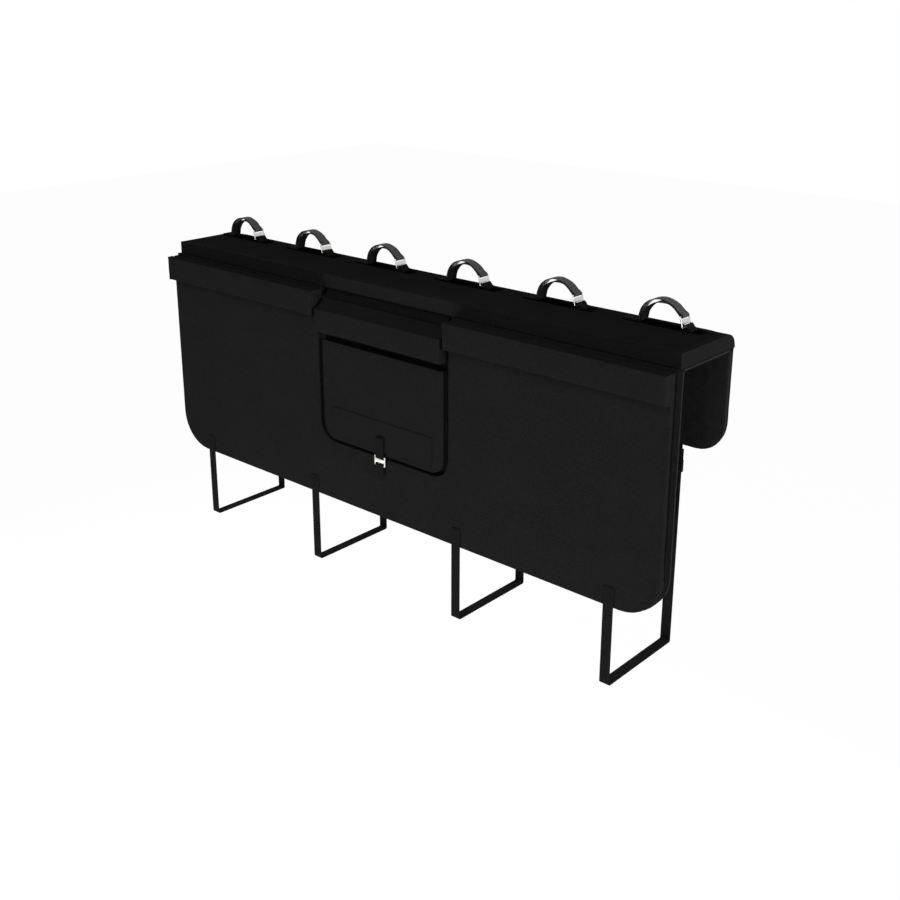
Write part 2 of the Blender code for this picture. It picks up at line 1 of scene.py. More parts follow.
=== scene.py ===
# %% [markdown]
# # A padded cover for a pickup's tailgate
#
# The real thing is a sewn cover that hangs over a closed tailgate. Foam pads are wrapped in black
# polyester cloth, six webbing loops on top tie down the bicycles, and four more run under the tailgate.
# Its solids come packed as a fixed frame. This lesson dresses them: each pad is swollen as cloth, each
# strap is woven along its path, and the metal and moulded fittings get their small edges.

import math

import bmesh
import bpy
import numpy as np
from mathutils import Matrix, Vector, noise
from mathutils.bvhtree import BVHTree
from mathutils.kdtree import KDTree


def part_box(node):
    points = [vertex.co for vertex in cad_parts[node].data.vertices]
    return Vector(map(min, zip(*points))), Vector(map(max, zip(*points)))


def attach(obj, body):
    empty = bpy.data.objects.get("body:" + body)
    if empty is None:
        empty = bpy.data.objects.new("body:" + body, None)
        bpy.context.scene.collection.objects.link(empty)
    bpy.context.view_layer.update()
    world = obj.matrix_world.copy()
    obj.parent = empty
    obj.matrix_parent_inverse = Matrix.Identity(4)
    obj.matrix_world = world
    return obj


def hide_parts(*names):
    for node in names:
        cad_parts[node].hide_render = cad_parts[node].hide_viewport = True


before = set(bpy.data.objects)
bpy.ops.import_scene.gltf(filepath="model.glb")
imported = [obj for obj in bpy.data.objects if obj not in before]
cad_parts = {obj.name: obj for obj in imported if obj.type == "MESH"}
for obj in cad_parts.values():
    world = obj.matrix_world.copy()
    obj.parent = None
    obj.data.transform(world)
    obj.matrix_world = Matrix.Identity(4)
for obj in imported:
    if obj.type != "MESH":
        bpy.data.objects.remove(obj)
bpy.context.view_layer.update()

# %% [markdown]
# The camera stands in front and to the right, a little above the cover, and looks down at it. The
# photograph is a crop that isn't centred on the lens, so the camera gets a small shift.

# %% Camera
def place_in_scene(name, data):
    """A new object that holds this mesh, lamp or camera."""
    made = bpy.data.objects.new(name, data)
    bpy.context.scene.collection.objects.link(made)
    return made


camera_data = bpy.data.cameras.new("camera")
camera_data.sensor_width = 36.0
camera_data.lens = 48.134
camera_data.shift_x = 0.0088
camera_data.shift_y = -0.0770
camera_data.clip_end = 60.0
camera = place_in_scene("camera", camera_data)
camera.location = (1.84772, -1.98259, 0.69047)
camera.rotation_euler = (math.radians(90.0 - 18.332), 0.0, math.radians(41.754))
bpy.context.scene.camera = camera
bpy.context.scene.view_settings.view_transform = "Standard"
print("camera at", tuple(round(v, 3) for v in camera.location))

# %% [markdown]
# A few helpers serve every finish. One turns a colour as it is written on the web into the linear
# numbers that a shader needs. One adds a node with its settings and links in one line. The last two
# start a finish and tie its patterns to the shader.

# %% Colour and node helpers
def hex_colour(text):
    """An sRGB colour such as 1d1d1f as linear red, green, blue and a full alpha."""
    shares = [int(text[i:i + 2], 16) / 255 for i in (0, 2, 4)]
    return tuple(s / 12.92 if s <= 0.04045 else ((s + 0.055) / 1.055) ** 2.4 for s in shares) + (1.0,)


def add_node(tree, kind, values=None, links=None, **settings):
    """A new node: settings are its properties, values its inputs' numbers, links (input, node, output)."""
    node = tree.nodes.new(kind)
    for key, value in settings.items():
        setattr(node, key, value)
    for key, value in (values or {}).items():
        node.inputs[key].default_value = value
    for key, source, output in links or ():
        tree.links.new(source.outputs[output], node.inputs[key])
    return node


def new_finish(name, **values):
    """A material with one Principled shader, its constant numbers set on the shader itself. The last
    thing given back is the link that lays a pattern on the piece's own coordinates, in metres."""
    finish = bpy.data.materials.new(name)
    finish.use_nodes = True
    tree = finish.node_tree
    shader = tree.nodes["Principled BSDF"]
    for key, value in values.items():
        shader.inputs[key.replace("_", " ")].default_value = value
    return finish, tree, shader, [("Vector", add_node(tree, "ShaderNodeTexCoord"), "Object")]


def link_patterns(tree, shader, dark, light, tint, height, strength, depth, matt=None, between=None):
    """Ties a finish's patterns, each a node and its output, to the shader. tint mixes the dark colour
    and the light one, height raises the surface by a depth, and matt sets the roughness between two
    values."""
    colour = add_node(tree, "ShaderNodeMix", {"A": hex_colour(dark), "B": hex_colour(light)},
                      [("Factor", *tint)], data_type="RGBA")
    tree.links.new(colour.outputs["Result"], shader.inputs["Base Color"])
    bump = add_node(tree, "ShaderNodeBump", {"Strength": strength, "Distance": depth}, [("Height", *height)])
    tree.links.new(bump.outputs[0], shader.inputs["Normal"])
    if matt:
        gloss = add_node(tree, "ShaderNodeMapRange", {"To Min": between[0], "To Max": between[1]},
                         [("Value", *matt)])
        tree.links.new(gloss.outputs[0], shader.inputs["Roughness"])


# %% [markdown]
# The studio is plain. A cover's hanging faces are lit from below in the photograph, so two long low
# lamps shine up at the front and the back. The floor lies well below the cover to leave them room,
# which makes its shadow faint. One more lamp stands high in front, and one at each end. Floor and sky
# look white to the camera and to anything that mirrors them, while what lights the cover stays at a
# plain level.

# %% Floor, sky and lamps
WHITE = (1.0, 1.0, 1.0, 1.0)
FLOOR_DEPTH = 2.3


def seen_directly(tree):
    """1 where the ray comes from the camera, or from a mirror-like or clear surface."""
    path = add_node(tree, "ShaderNodeLightPath")
    some = add_node(tree, "ShaderNodeMath", operation="MAXIMUM",
                    links=[(0, path, "Is Camera Ray"), (1, path, "Is Glossy Ray")])
    return add_node(tree, "ShaderNodeMath", operation="MAXIMUM",
                    links=[(0, some, 0), (1, path, "Is Transmission Ray")])


world = bpy.data.worlds.new("studio")
world.use_nodes = True
bpy.context.scene.world = world
sky = world.node_tree
sky.nodes.clear()
white_sky = add_node(sky, "ShaderNodeBackground", {"Color": WHITE, "Strength": 1.0})
room_light = add_node(sky, "ShaderNodeBackground", {"Color": WHITE, "Strength": 0.28})
sky_mix = add_node(sky, "ShaderNodeMixShader", links=[(0, seen_directly(sky), 0), (1, room_light, 0),
                                                      (2, white_sky, 0)])
add_node(sky, "ShaderNodeOutputWorld", links=[("Surface", sky_mix, 0)])

floor_paint = bpy.data.materials.new("matt_white_floor_paint")
floor_paint.use_nodes = True
paint = floor_paint.node_tree
paint.nodes.clear()
floor_glow = add_node(paint, "ShaderNodeEmission", {"Color": WHITE, "Strength": 1.02})
floor_matt = add_node(paint, "ShaderNodeBsdfDiffuse", {"Color": hex_colour("e6e6e6")})
glow_share = add_node(paint, "ShaderNodeMath", {1: 0.95}, [(0, seen_directly(paint), 0)],
                      operation="MULTIPLY")
floor_mix = add_node(paint, "ShaderNodeMixShader", links=[(0, glow_share, 0), (1, floor_matt, 0),
                                                          (2, floor_glow, 0)])
add_node(paint, "ShaderNodeOutputMaterial", links=[("Surface", floor_mix, 0)])

bpy.ops.mesh.primitive_plane_add(size=30.0, location=(0.0, 0.0, -FLOOR_DEPTH))
floor = bpy.context.active_object
floor.name = "studio_floor"
floor.data.materials.append(floor_paint)


def soft_lamp(name, place, aim, size, power):
    """A broad area lamp at a place, turned towards a point. size is its width and height."""
    data = bpy.data.lights.new(name, "AREA")
    data.shape = "RECTANGLE"
    data.size, data.size_y = size
    data.energy = power
    lamp = place_in_scene(name, data)
    lamp.location = place
    lamp.rotation_euler = (Vector(aim) - Vector(place)).to_track_quat("-Z", "Y").to_euler()


soft_lamp("front_lamp", (0.0, -2.45, -2.1), (0.0, -0.1, -0.2), (3.4, 0.7), 70.0)
soft_lamp("rear_lamp", (0.0, 2.45, -2.1), (0.0, 0.1, -0.2), (3.4, 0.7), 70.0)
soft_lamp("high_lamp", (0.0, -3.0, 2.8), (0.0, 0.0, 0.0), (3.4, 1.4), 49.0)
soft_lamp("right_lamp", (4.2, -0.5, 0.3), (0.3, 0.0, -0.2), (1.6, 1.0), 120.0)
soft_lamp("left_lamp", (-4.2, 0.5, 0.3), (-0.3, 0.0, -0.2), (1.6, 1.0), 120.0)

# %% [markdown]
# The pads are covered in black polyester packcloth with a coated back, woven from 600 denier yarn.
# Its real threads lie about 0.5 mm apart, which is finer than a pixel of the picture, so the weave is
# drawn coarser, at 2.4 mm. It is made from sine waves along the three axes: on any flat side two of
# them cross, and their product is the over and under of a plain weave. A slow noise, in patches of
# 140 mm, gives the bolt of cloth its uneven dye, and a faster one its slubs of 4 mm. A noise's scale
# is its number of patches in a metre. A darker copy of the cloth is painted shade, for what lies in
# shade: the flap's backing, seen only in the gaps round the door, and the inner pad's ends.

# %% Packcloth
WEAVE_SPACING = 0.0024


def weave_height(tree):
    """The height of a plain weave, on whichever side of the piece it is asked for."""
    coordinates = add_node(tree, "ShaderNodeTexCoord")
    place = add_node(tree, "ShaderNodeSeparateXYZ", links=[(0, coordinates, "Object")])
    waves = []
    for axis in "XYZ":
        turns = add_node(tree, "ShaderNodeMath", {1: math.pi / WEAVE_SPACING}, [(0, place, axis)],
                         operation="MULTIPLY")
        waves.append(add_node(tree, "ShaderNodeMath", links=[(0, turns, 0)], operation="SINE"))
    height = add_node(tree, "ShaderNodeMath", operation="MULTIPLY",
                      links=[(0, waves[0], 0), (1, waves[2], 0)])
    for first, second in ((0, 1), (1, 2)):
        height = add_node(tree, "ShaderNodeMath", operation="MULTIPLY_ADD",
                          links=[(0, waves[first], 0), (1, waves[second], 0), (2, height, 0)])
    return height


def packcloth(name, dark, light):
    """Woven polyester: dull, because its threads break up every reflection."""
    finish, tree, shader, here = new_finish(name, Specular_IOR_Level=0.0)
    weave = weave_height(tree)
    dye = add_node(tree, "ShaderNodeTexNoise", {"Scale": 7.0, "Detail": 4.0, "Roughness": 0.6}, here)
    slubs = add_node(tree, "ShaderNodeTexNoise", {"Scale": 260.0, "Detail": 2.0}, here)
    tone = add_node(tree, "ShaderNodeMath", {1: 0.16}, [(0, weave, 0), (2, dye, "Fac")],
                    operation="MULTIPLY_ADD")
    tone = add_node(tree, "ShaderNodeMath", {1: 0.5}, [(0, tone, 0), (2, slubs, "Fac")],
                    operation="MULTIPLY_ADD")
    ramp = add_node(tree, "ShaderNodeMapRange", {"From Min": 0.45, "From Max": 1.05}, [("Value", tone, 0)])
    relief = add_node(tree, "ShaderNodeMath", {1: 0.35}, [(0, slubs, "Fac"), (2, weave, 0)],
                      operation="MULTIPLY_ADD")
    link_patterns(tree, shader, dark, light, (ramp, 0), (relief, 0), 0.30, 0.0003, (dye, "Fac"), (0.72, 0.90))
    return finish


packcloth_black = packcloth("packcloth_polyester_black", "1a1a1a", "202020")
# Painted shade: a darker copy of the same cloth, for surfaces that lie in shade.
packcloth_painted_shade = packcloth("packcloth_polyester_painted_shade", "111111", "191919")
print("cloths:", packcloth_black.name, packcloth_painted_shade.name)

# %% [markdown]
# The lining that touches the car's paint is needle-punched felt: short fibres in every direction, so
# no weave shows, only a soft mottle. It is a little lighter than the cloth. A real fibre is far too
# fine to see, so the mottle is drawn in tangles of 2 mm on tufts of 17 mm.

# %% Lining felt
def needle_felt(name, dark, light):
    finish, tree, shader, here = new_finish(name, Roughness=0.95, Specular_IOR_Level=0.03)
    fibres = add_node(tree, "ShaderNodeTexNoise", {"Scale": 520.0, "Detail": 5.0, "Distortion": 1.6}, here)
    tufts = add_node(tree, "ShaderNodeTexNoise", {"Scale": 60.0, "Detail": 3.0}, here)
    both = add_node(tree, "ShaderNodeMath", {1: 0.5}, [(0, tufts, "Fac"), (2, fibres, "Fac")],
                    operation="MULTIPLY_ADD")
    ramp = add_node(tree, "ShaderNodeMapRange", {"From Min": 0.5, "From Max": 1.0}, [("Value", both, 0)])
    link_patterns(tree, shader, dark, light, (ramp, 0), (both, 0), 0.5, 0.0008)
    return finish


felt_charcoal = needle_felt("needle_felt_charcoal", "1e1e1e", "2c2c2c")
print("felt:", felt_charcoal.name)

# %% [markdown]
# The straps are black polypropylene webbing, 25 mm wide. Its warp runs lengthwise in ribs, and the
# weft crosses them in short slanted picks. Real ribs and picks are 1 to 2 mm apart, less than a pixel,
# so the ribs are drawn at 3.2 mm and the picks at 2.8 mm, or 5.4 mm on the bicycle loops, which the
# photograph shows from nearer. Straps bend, so this pattern follows each strap's own map, which holds
# metres along it and metres across it. The bicycle loops carry painted light and shade: a much lighter
# copy of the webbing is a painted highlight on the outside of each arch, where the light falls, and a
# mid-tone copy is painted shade on the inside.

# %% Webbing
RIB_SPACING = 0.0032
PICK_SPACING = 0.0028
LOOP_PICK_SPACING = 0.0054


def woven_webbing(name, dark, light, shine, pick):
    """shine is the specular level, and pick is how far apart the weft's picks are drawn."""
    finish, tree, shader, here = new_finish(name, Specular_IOR_Level=shine)
    own_map = add_node(tree, "ShaderNodeUVMap", uv_map="along")
    place = add_node(tree, "ShaderNodeSeparateXYZ", links=[(0, own_map, 0)])
    across = add_node(tree, "ShaderNodeMath", {1: 2.0 * math.pi / RIB_SPACING}, [(0, place, "Y")],
                      operation="MULTIPLY")
    ribs = add_node(tree, "ShaderNodeMath", links=[(0, across, 0)], operation="SINE")
    slant = add_node(tree, "ShaderNodeMath", links=[(0, ribs, 0)], operation="ABSOLUTE")
    along = add_node(tree, "ShaderNodeMath", {1: 2.0 * math.pi / pick}, [(0, place, "X"), (2, slant, 0)],
                     operation="MULTIPLY_ADD")
    picks = add_node(tree, "ShaderNodeMath", links=[(0, along, 0)], operation="SINE")
    height = add_node(tree, "ShaderNodeMath", {1: 0.45}, [(0, picks, 0), (2, slant, 0)],
                      operation="MULTIPLY_ADD")
    fuzz = add_node(tree, "ShaderNodeTexNoise", {"Scale": 400.0, "Detail": 3.0}, here)
    ramp = add_node(tree, "ShaderNodeMapRange", {"From Min": -0.45, "From Max": 1.35}, [("Value", height, 0)])
    shade = add_node(tree, "ShaderNodeMath", links=[(0, ramp, 0), (1, fuzz, 0)], operation="MULTIPLY")
    doubled = add_node(tree, "ShaderNodeMath", {1: 1.8}, [(0, shade, 0)], operation="MULTIPLY",
                       use_clamp=True)
    link_patterns(tree, shader, dark, light, (doubled, 0), (height, 0), 0.7, 0.0005, (ramp, 0), (0.70, 0.52))
    return finish


webbing_black = woven_webbing("polypropylene_webbing_matt", "0f0f0f", "242424", 0.0, PICK_SPACING)
# Painted highlight: a much lighter copy of the webbing, for the lit outside of the bicycle loops.
webbing_painted_highlight = woven_webbing("polypropylene_webbing_painted_highlight", "171717", "565656", 0.10, LOOP_PICK_SPACING)
# A mid-tone copy: painted shade on the loops' insides and sewn feet, painted light on the upper side of the
# under loops.
webbing_painted_midtone = woven_webbing("polypropylene_webbing_painted_midtone", "0f0f0f", "2e2e2e", 0.0, LOOP_PICK_SPACING)
print("webbings:", webbing_black.name, webbing_painted_highlight.name, webbing_painted_midtone.name)

# %% [markdown]
# Under each bicycle loop lies a strip of hook and loop tape. It is drawn as the blackest thing on the
# cover. Real hooks stand 0.5 mm apart and are drawn at 1.1 mm. The stitching is bonded nylon thread,
# nearly matt, whose twist is drawn at 1.1 mm too.

# %% Tape and thread
def pile_tape(name, dark, light):
    finish, tree, shader, here = new_finish(name, Roughness=1.0, Specular_IOR_Level=0.0)
    pile = add_node(tree, "ShaderNodeTexVoronoi", {"Scale": 900.0}, here)
    link_patterns(tree, shader, dark, light, (pile, "Distance"), (pile, "Distance"), 0.8, 0.0006)
    return finish


def bonded_thread(name, dark, light):
    finish, tree, shader, here = new_finish(name, Roughness=0.7, Specular_IOR_Level=0.05)
    twist = add_node(tree, "ShaderNodeTexNoise", {"Scale": 900.0, "Detail": 2.0}, here)
    link_patterns(tree, shader, dark, light, (twist, "Fac"), (twist, "Fac"), 0.4, 0.0002)
    return finish


hook_tape_black = pile_tape("hook_and_loop_tape_black", "030303", "0c0c0c")
thread_black = bonded_thread("bonded_nylon_thread_black", "0d0d0d", "161616")
print("tape and thread:", hook_tape_black.name, thread_black.name)

# %% [markdown]
# The slides are stamped from steel strip and nickel plated: bright, with faint drawing lines 0.6 mm
# apart along the strip, and dull spots of 5 mm. The buckles at the back are moulded acetal, black and
# dull, with the fine grain of 0.7 mm that a spark-eroded mould leaves, and wear in patches of 11 mm.

# %% Nickel and acetal
def nickel_plate(name, dark, light):
    finish, tree, shader, here = new_finish(name, Metallic=1.0)
    stretched = add_node(tree, "ShaderNodeMapping", {"Scale": (80.0, 80.0, 1600.0)}, here)
    lines = add_node(tree, "ShaderNodeTexNoise", {"Scale": 1.0, "Detail": 3.0}, [("Vector", stretched, 0)])
    spots = add_node(tree, "ShaderNodeTexNoise", {"Scale": 190.0, "Detail": 4.0}, here)
    link_patterns(tree, shader, dark, light, (spots, "Fac"), (lines, "Fac"), 0.12, 0.0001,
                  (spots, "Fac"), (0.18, 0.42))
    return finish


def moulded_acetal(name, dark, light):
    finish, tree, shader, here = new_finish(name, Specular_IOR_Level=0.08)
    grain = add_node(tree, "ShaderNodeTexNoise", {"Scale": 1400.0, "Detail": 2.0}, here)
    wear = add_node(tree, "ShaderNodeTexNoise", {"Scale": 90.0, "Detail": 3.0}, here)
    link_patterns(tree, shader, dark, light, (wear, "Fac"), (grain, "Fac"), 0.25, 0.0002,
                  (wear, "Fac"), (0.50, 0.70))
    return finish


nickel_bright = nickel_plate("nickel_plated_steel", "b4b2ac", "dad8d2")
acetal_black = moulded_acetal("moulded_acetal_black", "101011", "1c1c1e")
print("fittings:", nickel_bright.name, acetal_black.name)

# %% [markdown]
# Every pad is foam in a sewn cover. The cloth bridges the foam's corners, swells between its seams and
# pulls in along them. So each pad starts as a merged copy of its solid, cut into a grid, and is drawn in
# by about a millimetre. Blender's cloth then blows it up with a little pressure. A soft cap on how far a
# point may move brings the middle back to the solid's size and leaves the borders drawn in. The sides
# that rest on something are kept flat. The first helpers select, read and move things. Sides are named
# by their sign and axis, such as +Y for the one at the highest Y.

# %% Points, sides and sizes
def deselect_all():
    for thing in bpy.context.selected_objects:
        thing.select_set(False)


def make_active(thing):
    deselect_all()
    thing.select_set(True)
    bpy.context.view_layer.objects.active = thing


def points_of(mesh):
    points = np.zeros(len(mesh.vertices) * 3)
    mesh.vertices.foreach_get("co", points)
    return points.reshape(-1, 3)


def normals_of(mesh):
    normals = np.zeros(len(mesh.vertices) * 3)
    mesh.vertex_normals.foreach_get("vector", normals)
    return normals.reshape(-1, 3)


def set_points(mesh, points):
    mesh.vertices.foreach_set("co", points.reshape(-1))
    mesh.update()


def size_of(node):
    low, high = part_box(node)
    return high - low


def middle_of(node):
    low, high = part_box(node)
    return (low + high) / 2


def levels_of(sides, low, high):
    """The sign, the axis number and the level of each side that is named."""
    for side in sides.split():
        index = "XYZ".index(side[1])
        yield side[0], index, (high if side[0] == "+" else low)[index]


print("thickest pad:", [round(v, 4) for v in size_of("top_pad")])

# %% [markdown]
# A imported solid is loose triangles, so its copy is merged and freed of their diagonals first. Cloth
# needs points all over to swell, and most of them near a seam, where it turns. So the copy is cut along
# planes: two close to each border, then even steps. Its narrow bevels are pulled tighter, because a
# sewn edge is sharper than the solid's.

# %% A solid's copy in a grid
SEAM_FOLD = math.radians(30.0)
FLAT_FOLD = math.radians(1.0)
TOUCH = 1e-5
SOLID_EDGE = 0.0022
EDGE_TIGHTNESS = 0.55


def graded(low, high, border, largest):
    """Places to cut between two ends: two near each end, then even steps."""
    near = [low + border, low + 2.6 * border]
    far = [low + high - place for place in near]
    count = max(1, math.ceil((far[1] - near[1]) / largest))
    even = [near[1] + (far[1] - near[1]) * i / count for i in range(count + 1)]
    return sorted(set(round(place, 6) for place in near + far + even if low < place < high))


def tighten(bm, index, level, share):
    """Draws the solid's bevel along one side together, towards the corner that it cuts off. A share of
    1 leaves a square edge, as where two pads are sewn against each other."""
    moves = {}
    for edge in bm.edges:
        a, b = edge.verts
        for on, off in ((a, b), (b, a)):
            gap = abs(off.co[index] - level)
            if abs(on.co[index] - level) < TOUCH and 1e-4 < gap < 1.05 * SOLID_EDGE \
                    and edge.calc_length() < 1.5 * SOLID_EDGE:
                corner = off.co.copy()
                corner[index] = level
                moves[on] = on.co.lerp(corner, share)
                if share < 1.0:
                    moves[off] = off.co.lerp(corner, share)
    for vertex, place in moves.items():
        vertex.co = place


def copy_in_grid(node, name, cuts, resting="", soft_sides=""):
    """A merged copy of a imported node, rid of its triangles' diagonals and cut along planes. Its edges
    become square along the resting sides and tighter along the soft ones. Its seams come with it."""
    bm = bmesh.new()
    bm.from_mesh(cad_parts[node].data)
    bmesh.ops.remove_doubles(bm, verts=bm.verts, dist=TOUCH)
    bmesh.ops.dissolve_limit(bm, angle_limit=FLAT_FOLD, verts=bm.verts, edges=bm.edges)
    low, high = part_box(node)
    for sides, share in ((resting, 1.0), (soft_sides, EDGE_TIGHTNESS)):
        for sign, index, level in levels_of(sides, low, high):
            tighten(bm, index, level, share)
    borders = [[v.co.copy() for v in edge.verts] for edge in bm.edges
               if edge.calc_face_angle(0.0) > SEAM_FOLD]
    for axis, (border, largest) in cuts.items():
        index = "XYZ".index(axis)
        direction = Vector([1.0 if i == index else 0.0 for i in range(3)])
        for place in graded(low[index], high[index], border, largest):
            bmesh.ops.bisect_plane(bm, geom=bm.verts[:] + bm.edges[:] + bm.faces[:], dist=1e-6,
                                   plane_co=direction * place, plane_no=direction)
    crease = bm.edges.layers.float.new("crease_edge")
    for sign, index, level in levels_of(resting, low, high):
        for edge in bm.edges:
            on_side = all(abs(v.co[index] - level) < TOUCH for v in edge.verts)
            if on_side and edge.calc_face_angle(0.0) > SEAM_FOLD:
                edge[crease] = 1.0
    mesh = bpy.data.meshes.new(name)
    bm.to_mesh(mesh)
    bm.free()
    return place_in_scene(name, mesh), borders


print("cuts across the top pad:", len(graded(0.0, size_of("top_pad").y, 0.004, 0.013)))

# %% [markdown]
# The swelling is Blender's cloth with pressure and no weight. Afterwards the sides that rest are put
# back in their plane, the needle's pull is drawn in as shallow creases along the seams, and the pad is
# stretched evenly to its solid's box, so that nothing has changed its size.

# %% Swelling and creases
PRESSURE = 3.0
SWELL_FRAMES = 14
PUCKER_REACH = 0.030
PUCKER_DEPTH = 0.0004


def distance_to(borders, points, spacing=0.006):
    """How far each point lies from the nearest seam, which runs along the solid's sharp edges."""
    marks = []
    for a, b in borders:
        count = max(1, math.ceil((b - a).length / spacing))
        marks += [a.lerp(b, i / count) for i in range(count + 1)]
    tree = KDTree(len(marks))
    for number, mark in enumerate(marks):
        tree.insert(mark, number)
    tree.balance()
    return np.array([tree.find(point)[2] for point in points])


def blow_up(thing):
    """Runs Blender's cloth with a little pressure inside and no weight. Returns where its points go."""
    cloth = thing.modifiers.new("cloth", "CLOTH")
    cloth.settings.use_pressure = True
    cloth.settings.uniform_pressure_force = PRESSURE
    cloth.settings.effector_weights.gravity = 0.0
    cloth.settings.quality = 4
    cloth.settings.tension_stiffness = 12.0
    cloth.settings.compression_stiffness = 12.0
    cloth.settings.bending_stiffness = 0.4
    cloth.collision_settings.use_collision = False
    cloth.point_cache.frame_start = 1
    cloth.point_cache.frame_end = SWELL_FRAMES
    for number in range(1, SWELL_FRAMES + 1):
        bpy.context.scene.frame_set(number)
    graph = bpy.context.evaluated_depsgraph_get()
    points = points_of(thing.evaluated_get(graph).data)
    thing.modifiers.remove(cloth)
    bpy.context.scene.frame_set(1)
    return points


def hold_flat(points, full, low, high, resting):
    """Puts the points of the sides that rest on something back in their plane."""
    for sign, index, level in levels_of(resting, low, high):
        on_side = np.abs(full[:, index] - level) < 1e-4
        points[on_side] = full[on_side]
        inside = np.minimum if sign == "+" else np.maximum
        points[:, index] = inside(points[:, index], level)
    return points


def pucker(mesh, borders, low, high, resting):
    """Shallow creases of 15 to 30 mm that run in from the seams and die out, as where a needle pulled
    the cloth, and a slow swell of 180 mm."""
    points = points_of(mesh)
    near = np.exp(-(distance_to(borders, points) / PUCKER_REACH) ** 2)
    waves = np.array([noise.noise(Vector(p) * 34.0) + 0.5 * noise.noise(Vector(p) * 71.0) for p in points])
    slow = np.array([noise.noise(Vector(p) * 5.5) for p in points])
    sunk = PUCKER_DEPTH * (near * (0.5 + 0.5 * waves) + 0.5 * (0.5 + slow))
    moved = points - normals_of(mesh) * sunk[:, None]
    set_points(mesh, hold_flat(moved, points, low, high, resting))


def fill_box(mesh, low, high):
    """Stretches a pad evenly, so that its outermost points reach the sides of its solid's box again."""
    points = points_of(mesh)
    least, most = points.min(axis=0), points.max(axis=0)
    set_points(mesh, low + (points - least) / (most - least) * (high - low))


print("swollen for", SWELL_FRAMES, "frames at a pressure of", PRESSURE)

# %% [markdown]
# With these, a whole pad is one call: copy, draw in, blow up, cap the movement, round, pucker, and hand
# it over with its finish.

# %% One sewn pad
CRISP_FOLD = math.radians(50.0)
ALL_SIDES = "-X +X -Y +Y -Z +Z"
THICK_PUFF = 0.0012
THIN_PUFF = 0.0010
HIDDEN_PUFF = 0.0008


def finish_soft(thing, node, finish):
    """Smooth shading with crisp folds, a finish, the body to ride on and the node it stands for."""
    thing.data.materials.append(finish)
    make_active(thing)
    bpy.ops.object.shade_smooth_by_angle(angle=CRISP_FOLD)
    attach(thing, "root")
    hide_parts(node)


def finish_faces(thing, finish, wanted):
    """Gives one more finish to those faces of a piece for which wanted is true."""
    thing.data.materials.append(finish)
    for face in thing.data.polygons:
        if wanted(face):
            face.material_index = len(thing.data.materials) - 1


def sewn_pad(node, name, cuts, puff, resting, rounds=1):
    """One pad. cuts gives each axis its border and largest spacing, and puff is how far the pad is drawn
    in before it is blown up."""
    soft_sides = " ".join(side for side in ALL_SIDES.split() if side not in resting.split())
    pad, borders = copy_in_grid(node, name, cuts, resting, soft_sides)
    low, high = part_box(node)
    full = points_of(pad.data)
    normals = normals_of(pad.data)
    drawn = full - normals * puff
    set_points(pad.data, hold_flat(drawn, full, low, high, resting))
    moved = blow_up(pad)
    shift = moved - drawn
    length = np.linalg.norm(shift, axis=1, keepdims=True) + 1e-12
    moved = drawn + shift / length * puff * np.tanh(length / puff)
    set_points(pad.data, hold_flat(moved, full, low, high, resting))
    if rounds:
        smooth = pad.modifiers.new("rounding", "SUBSURF")
        smooth.levels = rounds
        smooth.render_levels = rounds
        make_active(pad)
        bpy.ops.object.modifier_apply(modifier=smooth.name)
        pucker(pad.data, borders, low, high, resting)
    fill_box(pad.data, np.array(low), np.array(high))
    finish_soft(pad, node, packcloth_black)
    print(name, len(pad.data.polygons), "faces, swollen by up to", round(float(length.max()) * 1000, 1), "mm")
    return pad


# %% [markdown]
# The top pad is the thickest: one slab of foam whose rear long edge is rolled. It rests on the
# tailgate's upper edge. The back pad is thin and hangs into the load bed.

# %% Top pad and back pad
TOP_CUTS = {"X": (0.004, 0.013), "Y": (0.004, 0.013), "Z": (0.006, 0.009)}
top_pad = sewn_pad("top_pad", "top_pad_cover", TOP_CUTS, THICK_PUFF, "-Z")
back_pad = sewn_pad("back_pad", "back_pad_cover", {"X": (0.004, 0.013), "Z": (0.004, 0.013)},
                    THIN_PUFF, "-Y +Z")

# %% [markdown]
# The front is two pads deep. The outer one carries the long bumpers and has the opening for the flap.
# The inner one is nearly hidden, so it stays coarser, and its ends get the darker cloth, painted shade
# for the dark slit between the outer pad and the lining.

# %% Front pads and bumpers
FACING = 0.7
BUMPER_CUTS = {"X": (0.003, 0.010), "Y": (0.004, 0.006), "Z": (0.003, 0.008)}
front_inner = sewn_pad("front_inner_pad", "front_inner_cover", {"X": (0.005, 0.024), "Z": (0.005, 0.024)},
                       HIDDEN_PUFF, "+Y -Y", rounds=0)
# Painted shade: the inner pad's end faces get the darker copy of the cloth.
finish_faces(front_inner, packcloth_painted_shade, lambda face: abs(face.normal.x) > FACING)
front_outer = sewn_pad("front_outer_pad", "front_outer_cover", {"X": (0.004, 0.012), "Z": (0.004, 0.012)},
                       THIN_PUFF, "+Y")
for side in ("left", "right"):
    sewn_pad("bumper_" + side, "bumper_" + side + "_cover", BUMPER_CUTS, THICK_PUFF, "+Y")

# %% [markdown]
# The flap hangs in that opening. A padded bumper crosses it at the level of the long ones, its door
# lies flush with the outer pad, and a flat patch is sewn on the door where the strap starts.

# %% Flap
CLOTH_EDGE = 0.0004
PATCH_EDGE = 0.0003


def soften(thing, width, segments=2, limit=CRISP_FOLD):
    """Bevels the sharp edges of a piece, and leaves it active."""
    soft = thing.modifiers.new("soft_edge", "BEVEL")
    soft.width = width
    soft.segments = segments
    soft.limit_method = "ANGLE"
    soft.angle_limit = limit
    make_active(thing)
    bpy.ops.object.modifier_apply(modifier=soft.name)


